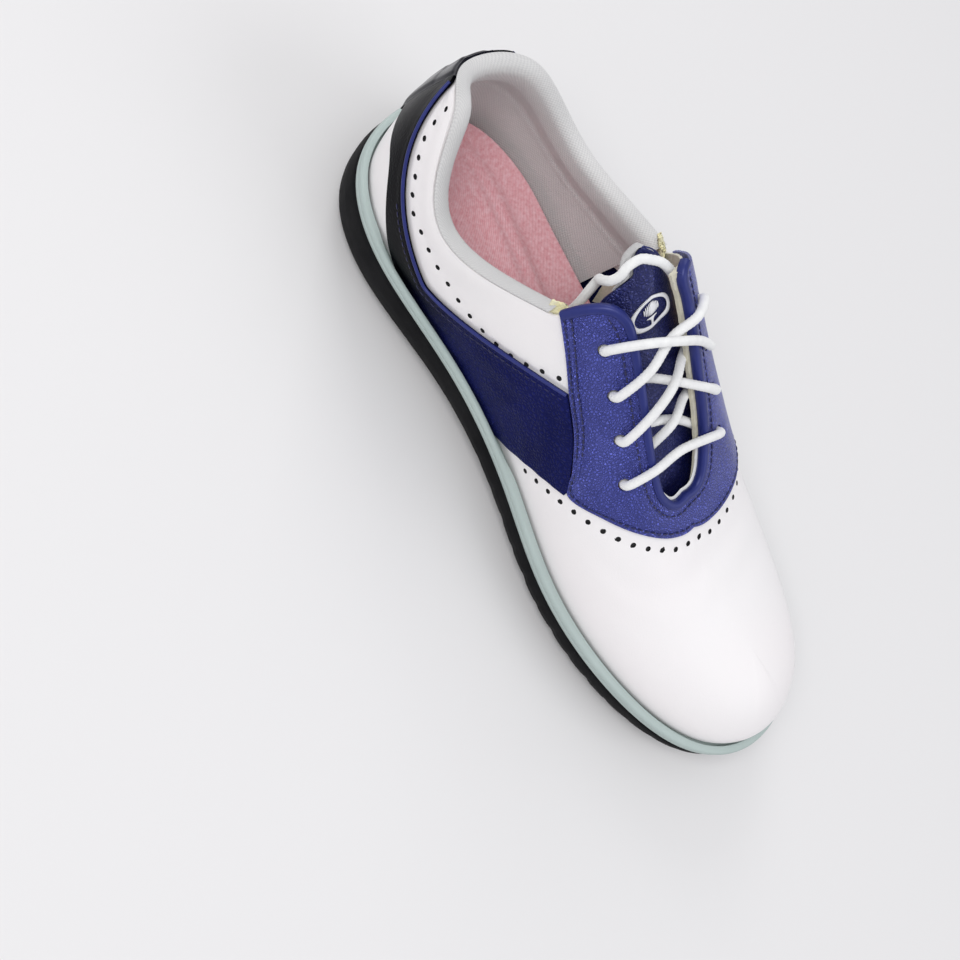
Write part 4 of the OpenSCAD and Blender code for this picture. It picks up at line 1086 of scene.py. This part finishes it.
def on_badge(x, y, lift=0.35):
    """Point on the tongue x mm towards the toe and y mm to the medial side of the badge's middle."""
    a, b = place(np.array([BADGE_Q + x * per_q]), np.array([BADGE_W + y * per_w]))
    return a[0] + b[0] * (TONGUE_OUT + lift), b[0]


badge_points, badge_faces = [], []


def satin(x0, y0, x1, y1):
    a, n0 = on_badge(x0, y0)
    b, _ = on_badge(x1, y1)
    bead(badge_points, badge_faces, (a + b) / 2, unit(b - a), n0, float(np.linalg.norm(b - a)), 0.24, 0.9)


for angle in circle(110):
    c, s = math.cos(angle), math.sin(angle)
    satin(4.2 * c, 4.2 * s, 5.4 * c, 5.4 * s)
ball_x, ball_r = -1.2, 2.3
for y in np.arange(-ball_r + 0.2, ball_r, 0.40):
    half = math.sqrt(ball_r**2 - y * y)
    satin(ball_x - half, y, ball_x + half, y)
for x in np.arange(1.6, 4.2, 0.40):
    half = 1.3 * math.exp(-(x - 1.6) / 0.6) + 0.35
    satin(x, -half, x, half)
put("tongue_badge", np.array(badge_points), badge_faces, BADGE, "badge_thread", body="tongue",
    stands_for=["tongue_patch"], sharp=80)

# ---- sole


def outline(s, d):
    """Points of the sole's outline, moved outwards by d in plan."""
    s = np.asarray(s, float)
    here = np.stack([smooth(EDGE_X, s), smooth(EDGE_Y, s)], -1)
    t = unit(np.stack([smooth(EDGE_X, s + 0.02) - smooth(EDGE_X, s - 0.02),
                       smooth(EDGE_Y, s + 0.02) - smooth(EDGE_Y, s - 0.02)], -1))
    return here + np.stack([t[..., 1], -t[..., 0]], -1) * np.asarray(d, float)[..., None]


UNDER = 2.4


def flare(s):
    """How much of the sole's flare is left towards the slimmer heel."""
    return 1 - 0.15 * ease((2.2 - folded(s)) / 1.2)


def ring(s, d, z):
    return np.concatenate([outline(s, d * flare(s)), np.broadcast_to(z, s.shape)[..., None]], -1)


def stacked(name, rings, mat, slot, fill=26, **kw):
    """Rings from the bottom up, closed by grids of rows across the sole."""
    rings = np.asarray(rings)
    rows, cols = rings.shape[:2]
    half = cols // 2
    points = [rings.reshape(-1, 3)]
    idx = np.arange(rows * cols).reshape(rows, cols)
    faces = quads(np.hstack([idx, idx[:, :1]])).tolist()
    total = rows * cols
    for r, turned in ((0, False), (rows - 1, True)):
        a = rings[r]
        grid_idx = np.zeros((half + 1, fill + 1), int)
        for i in range(half + 1):
            left, right_i = i, (cols - i) % cols
            if i in (0, half):
                grid_idx[i, :] = idx[r, left]
                continue
            inner_points = a[left] + (a[right_i] - a[left]) * (np.arange(1, fill) / fill)[:, None]
            points.append(inner_points)
            grid_idx[i, 0], grid_idx[i, -1] = idx[r, left], idx[r, right_i]
            grid_idx[i, 1:-1] = total + np.arange(fill - 1)
            total += fill - 1
        for i in range(half):
            for jj in range(fill):
                f = [grid_idx[i, jj], grid_idx[i + 1, jj], grid_idx[i + 1, jj + 1], grid_idx[i, jj + 1]]
                f = list(dict.fromkeys(int(x) for x in f))
                if len(f) > 2:
                    faces.append(f if turned else f[::-1])
    points = np.vstack(points)
    return put(name, points, consistent(points, faces), mat, slot, **kw)


def consistent(points, faces):
    """Faces with outward winding."""
    mesh = bpy.data.meshes.new("winding")
    mesh.from_pydata((points * MM).tolist(), [], [list(map(int, f)) for f in faces])
    bm = bmesh.new()
    bm.from_mesh(mesh)
    bmesh.ops.recalc_face_normals(bm, faces=bm.faces)
    out = [[v.index for v in f.verts] for f in bm.faces]
    bm.free()
    bpy.data.meshes.remove(mesh)
    return out


s = np.linspace(0, 16, 560, endpoint=False)
edge_z = smooth(EDGE_Z, s)
tread = smooth(TREAD, s)
top_z = edge_z - UNDER
arc = travelled(np.vstack([ring(s, 4.0, 0.0)]))
ball = gauss(folded(s) - 5.2, 1.5)
notch = 0.55 * np.clip(np.sin(arc * 2 * np.pi / 11.5), 0, 1)**3 * ball
wave = 0.9 * np.clip(np.sin(arc * 2 * np.pi / 23 + 1.0), 0, 1)**2 * ball
levels = [(0.5, 0, 0), (1.6, 0.10, 0.1), (2.8, 0.30, 0.5), (3.5, 0.75, 0.16), (4.1, 0.9, 0.36),
          (4.5, 0.9, 0.5), (4.62, 0.5, 0.60), (4.5, 0.2, 0.76), (4.45, 0, 0.9), (4.2, 0, 0.96), (3.4, 0, 1.0)]
rings = []
for i, (d, scallop, rise) in enumerate(levels):
    z = mix(tread, top_z - 0.2, rise if i > 2 else 0) + (1.3 * rise if i <= 2 else 0)
    rings.append(ring(s, d - notch * scallop, z + wave * (0.4 if 1 < i < 4 else 0)))
stacked("outsole_rubber", rings, RUBBER, "outsole_rubber", stands_for=["outsole"], sharp=50)

LUG_STATIONS = [-135, -91, -46, -2, 36, 77, 118, 136]
LUGS = [(8, -30), (53, -13), (50, 8), (88, -24), (84, 22), (44, 33), (10, 6), (26, -4), (78, -3), (-120, -18),
        (-121, 8), (-84, -28), (-84, 21), (-88, -4), (-116, -5), (-72, -12), (-70, 10)]
CLEATS = [(34, -29, 0), (72, -27, 0), (98, 1, 2.6), (64, 27, 0), (24, 24, 0), (-100, -22, 0), (-100, 14, 0)]


def pillar(points, faces, centre, levels, radius, sides=36):
    """Add a turned shape: levels of (share of radius, z), radius a number or a function of the angle."""
    a = circle(sides)
    base = sum(len(x) for x in points)
    for k, z in levels:
        r = (radius(a) if callable(radius) else radius) * k
        points.append(np.stack([centre[0] + r * np.cos(a), centre[1] + r * np.sin(a), np.full(sides, z)], -1))
    faces += ring_faces(base, len(levels), sides)


points, faces = [], []
for i, (x, y) in enumerate(LUGS):
    root_z = float(smooth(TREAD, np.interp(x, LUG_STATIONS, range(8)))) + 1.0
    pillar(points, faces, (x, y),
           [(0.80, 0.0), (0.88, 0.0), (0.96, 0.4), (1.0, 1.4), (1.05, 4.2), (1.3, root_z)],
           lambda a, turn_by=i * 0.9: 5.3 + 0.35 * np.cos(3 * (a - turn_by)))


def inside_sole(x, y, margin):
    t = np.interp(x, EDGE_X[:9], range(9))
    lat, med = outline(np.array([t, 16 - t]), np.array([-margin, -margin]))
    return lat[1] < y < med[1]


# small studs in staggered rows, clear of the waist, the lugs and the cleats
STUD_R, STUD_PITCH = 1.9, 8.0
busy = [(x, y, 8.5) for x, y in LUGS] + [(x, y, 13.0) for x, y, _ in CLEATS]
for col, x in enumerate(np.arange(-124, 122, STUD_PITCH)):
    for y in np.arange(-40, 44, STUD_PITCH):
        yy = y + (STUD_PITCH / 2 if col % 2 else 0.0)
        if -56 < x < -6 or not inside_sole(x, yy, 5.0):
            continue
        if any(math.hypot(x - bx, yy - by) < r for bx, by, r in busy):
            continue
        t = float(np.interp(x, EDGE_X[:9], range(9)))
        base_z = float(smooth(TREAD, t))
        pillar(points, faces, (x, yy),
               [(0.75, base_z - 1.5), (0.9, base_z - 1.4), (1.0, base_z - 0.9), (1.3, base_z + 0.8)],
               STUD_R, sides=12)
put("outsole_lugs", np.vstack(points), faces, RUBBER, "outsole_rubber", sharp=45)

# midsole
lip = 3.8
snug = (1.5 + 1.4 * ease((folded(s) - 1.6) / 0.4) * ease((4.1 - folded(s)) / 0.4)) / flare(s)
mid = [(3.3, -UNDER - 0.15), (3.7, -UNDER + 0.1), (4.2, -UNDER + 0.6), (4.6, -0.7), (4.8, 0.2), (4.8, 0.9),
       (4.5, 1.15), (4.78, 1.4), (4.8, lip - 1.5), (4.68, lip - 0.75), (4.4, lip - 0.25), (3.9, lip - 0.02),
       (snug + 0.4, lip), (snug + 0.12, lip - 0.1), (snug, lip - 0.45), (snug, -0.3)]
stacked("midsole_foam", [ring(s, d, edge_z + z) for d, z in mid], MINT, "midsole_foam",
        stands_for=["midsole"], sharp=50)

# footbed
rows, cols = 300, 91
FOOTBED_IN, FOOTBED_T = -6.2, 6.6
q = np.linspace(0.0, 8.0, rows)
wall_lat = 7 + 3.5 * ease((3.2 - q) / 1.4)
wall_med = wall_lat + 3 * ease((q - 2.2) / 0.8) * ease((4.9 - q) / 0.9)
t = np.linspace(-1, 1, cols)[None, :]


def across_sole(d):
    """Points in plan from the lateral to the medial edge of the outline moved out by d."""
    lat, med = outline(q, np.full(rows, d)), outline(16 - q, np.full(rows, d))
    return mix(lat[:, None], med[:, None], (t[..., None] + 1) / 2)


base = mix(smooth(EDGE_Z, q)[:, None], smooth(EDGE_Z, 16 - q)[:, None], (t + 1) / 2)
wall = np.where(t < 0, wall_lat[:, None], wall_med[:, None])
draw = 1 - (1 - np.clip((1 - np.abs(t)) / 0.55, 0, 1))**2.2
ridges = sum(1.7 * gauss(t - c - 0.16 * np.sin(q[:, None] * 1.3), 0.12) * ease((q[:, None] - 0.6) / 0.5)
             * ease((4.3 - q[:, None]) / 0.6) for c in (0.18, 0.42))
heel_bowl = -0.6 * gauss(q[:, None] - 0.9, 0.5) * gauss(t, 0.5)
z = base + mix(wall, FOOTBED_T, draw) + ridges + heel_bowl
edge_round = 0.5 * ease((np.abs(t) - 0.97) / 0.03)
top = np.concatenate([across_sole(FOOTBED_IN), (z - edge_round)[..., None]], -1)
bottom = np.concatenate([across_sole(FOOTBED_IN - 0.2), (base + FOOTBED_T / 2)[..., None]], -1)
plate("footbed_cloth", top, bottom, PINK, "footbed_fabric", stands_for=["footbed"])

# ---- cleats


def cleat(i, x, y, lift):
    """One soft cleat: plate, hub and eight curved legs, and the pale ring round the hub."""
    plate_z = 2.8 + lift
    points, faces = [], []
    pillar(points, faces, (x, y), [(0.90, plate_z - 0.15), (0.97, plate_z), (1.0, plate_z + 0.35),
                                   (1.0, plate_z + 1.3), (0.96, plate_z + 1.8)], 10, 72)
    pillar(points, faces, (x, y), [(0.55, plate_z - 1.35), (0.8, plate_z - 1.3), (0.92, plate_z - 0.9),
                                   (1.0, plate_z + 0.2)], 4.4, 48)
    pillar(points, faces, (x, y), [(1.0, plate_z + 1.6), (1.0, plate_z + 5.6), (0.9, plate_z + 5.8)],
           lambda a: 4.0 + 0.12 * np.cos(9 * a), 54)
    legs, levels, sides = 8, 9, 14
    a = circle(sides)
    for k in range(legs):
        angle = 2 * math.pi * k / legs
        faces += ring_faces(sum(len(v) for v in points), levels, sides, turned=True)
        for m in range(levels):
            f = m / (levels - 1)
            z = mix(plate_z + 0.4, 0.2 + lift, f)
            sweep_angle = angle + 0.16 * f**2
            r_at = 7.3 + 0.9 * math.sin(f * 1.9)
            rad = mix(2.1, 1.15, f) * (1 - 0.35 * max(0, f - 0.86) / 0.14)
            cx, cy = x + r_at * math.cos(sweep_angle), y + r_at * math.sin(sweep_angle)
            lx, ly = np.cos(a) * rad * 1.15, np.sin(a) * rad * 0.85
            ca, sa = math.cos(sweep_angle), math.sin(sweep_angle)
            points.append(np.stack([cx + lx * ca - ly * sa, cy + lx * sa + ly * ca, np.full(sides, z)], -1))
    put(f"cleat_{i}_body", np.vstack(points), faces, CLEAT, "cleat_plastic", body=f"cleat_{i}",
        stands_for=[f"cleat_{i}"], sharp=40)
    a = circle(64)
    b = circle(10)
    r = 5.6 + 0.75 * np.cos(b)
    rings = [np.stack([x + r * math.cos(t0), y + r * math.sin(t0), plate_z - 0.1 + 0.45 * np.sin(b)], -1)
             for t0 in a]
    rings.append(rings[0])
    loft(f"cleat_{i}_ring", rings, CLEAT_RING, "cleat_plastic", caps=False, body=f"cleat_{i}", merge=True,
         sharp=60)


for i, (x, y, lift) in enumerate(CLEATS, 1):
    cleat(i, x, y, lift)

# ---- CAD nodes that stay, in better materials

for name, mat in (("bottom_filler", FELT), ("shank", STEEL), ("lasting_board", TAN),
                  ("cleat_sockets", PLASTIC)):
    mesh = NODES[name].data
    mesh.materials.clear()
    mesh.materials.append(mat)
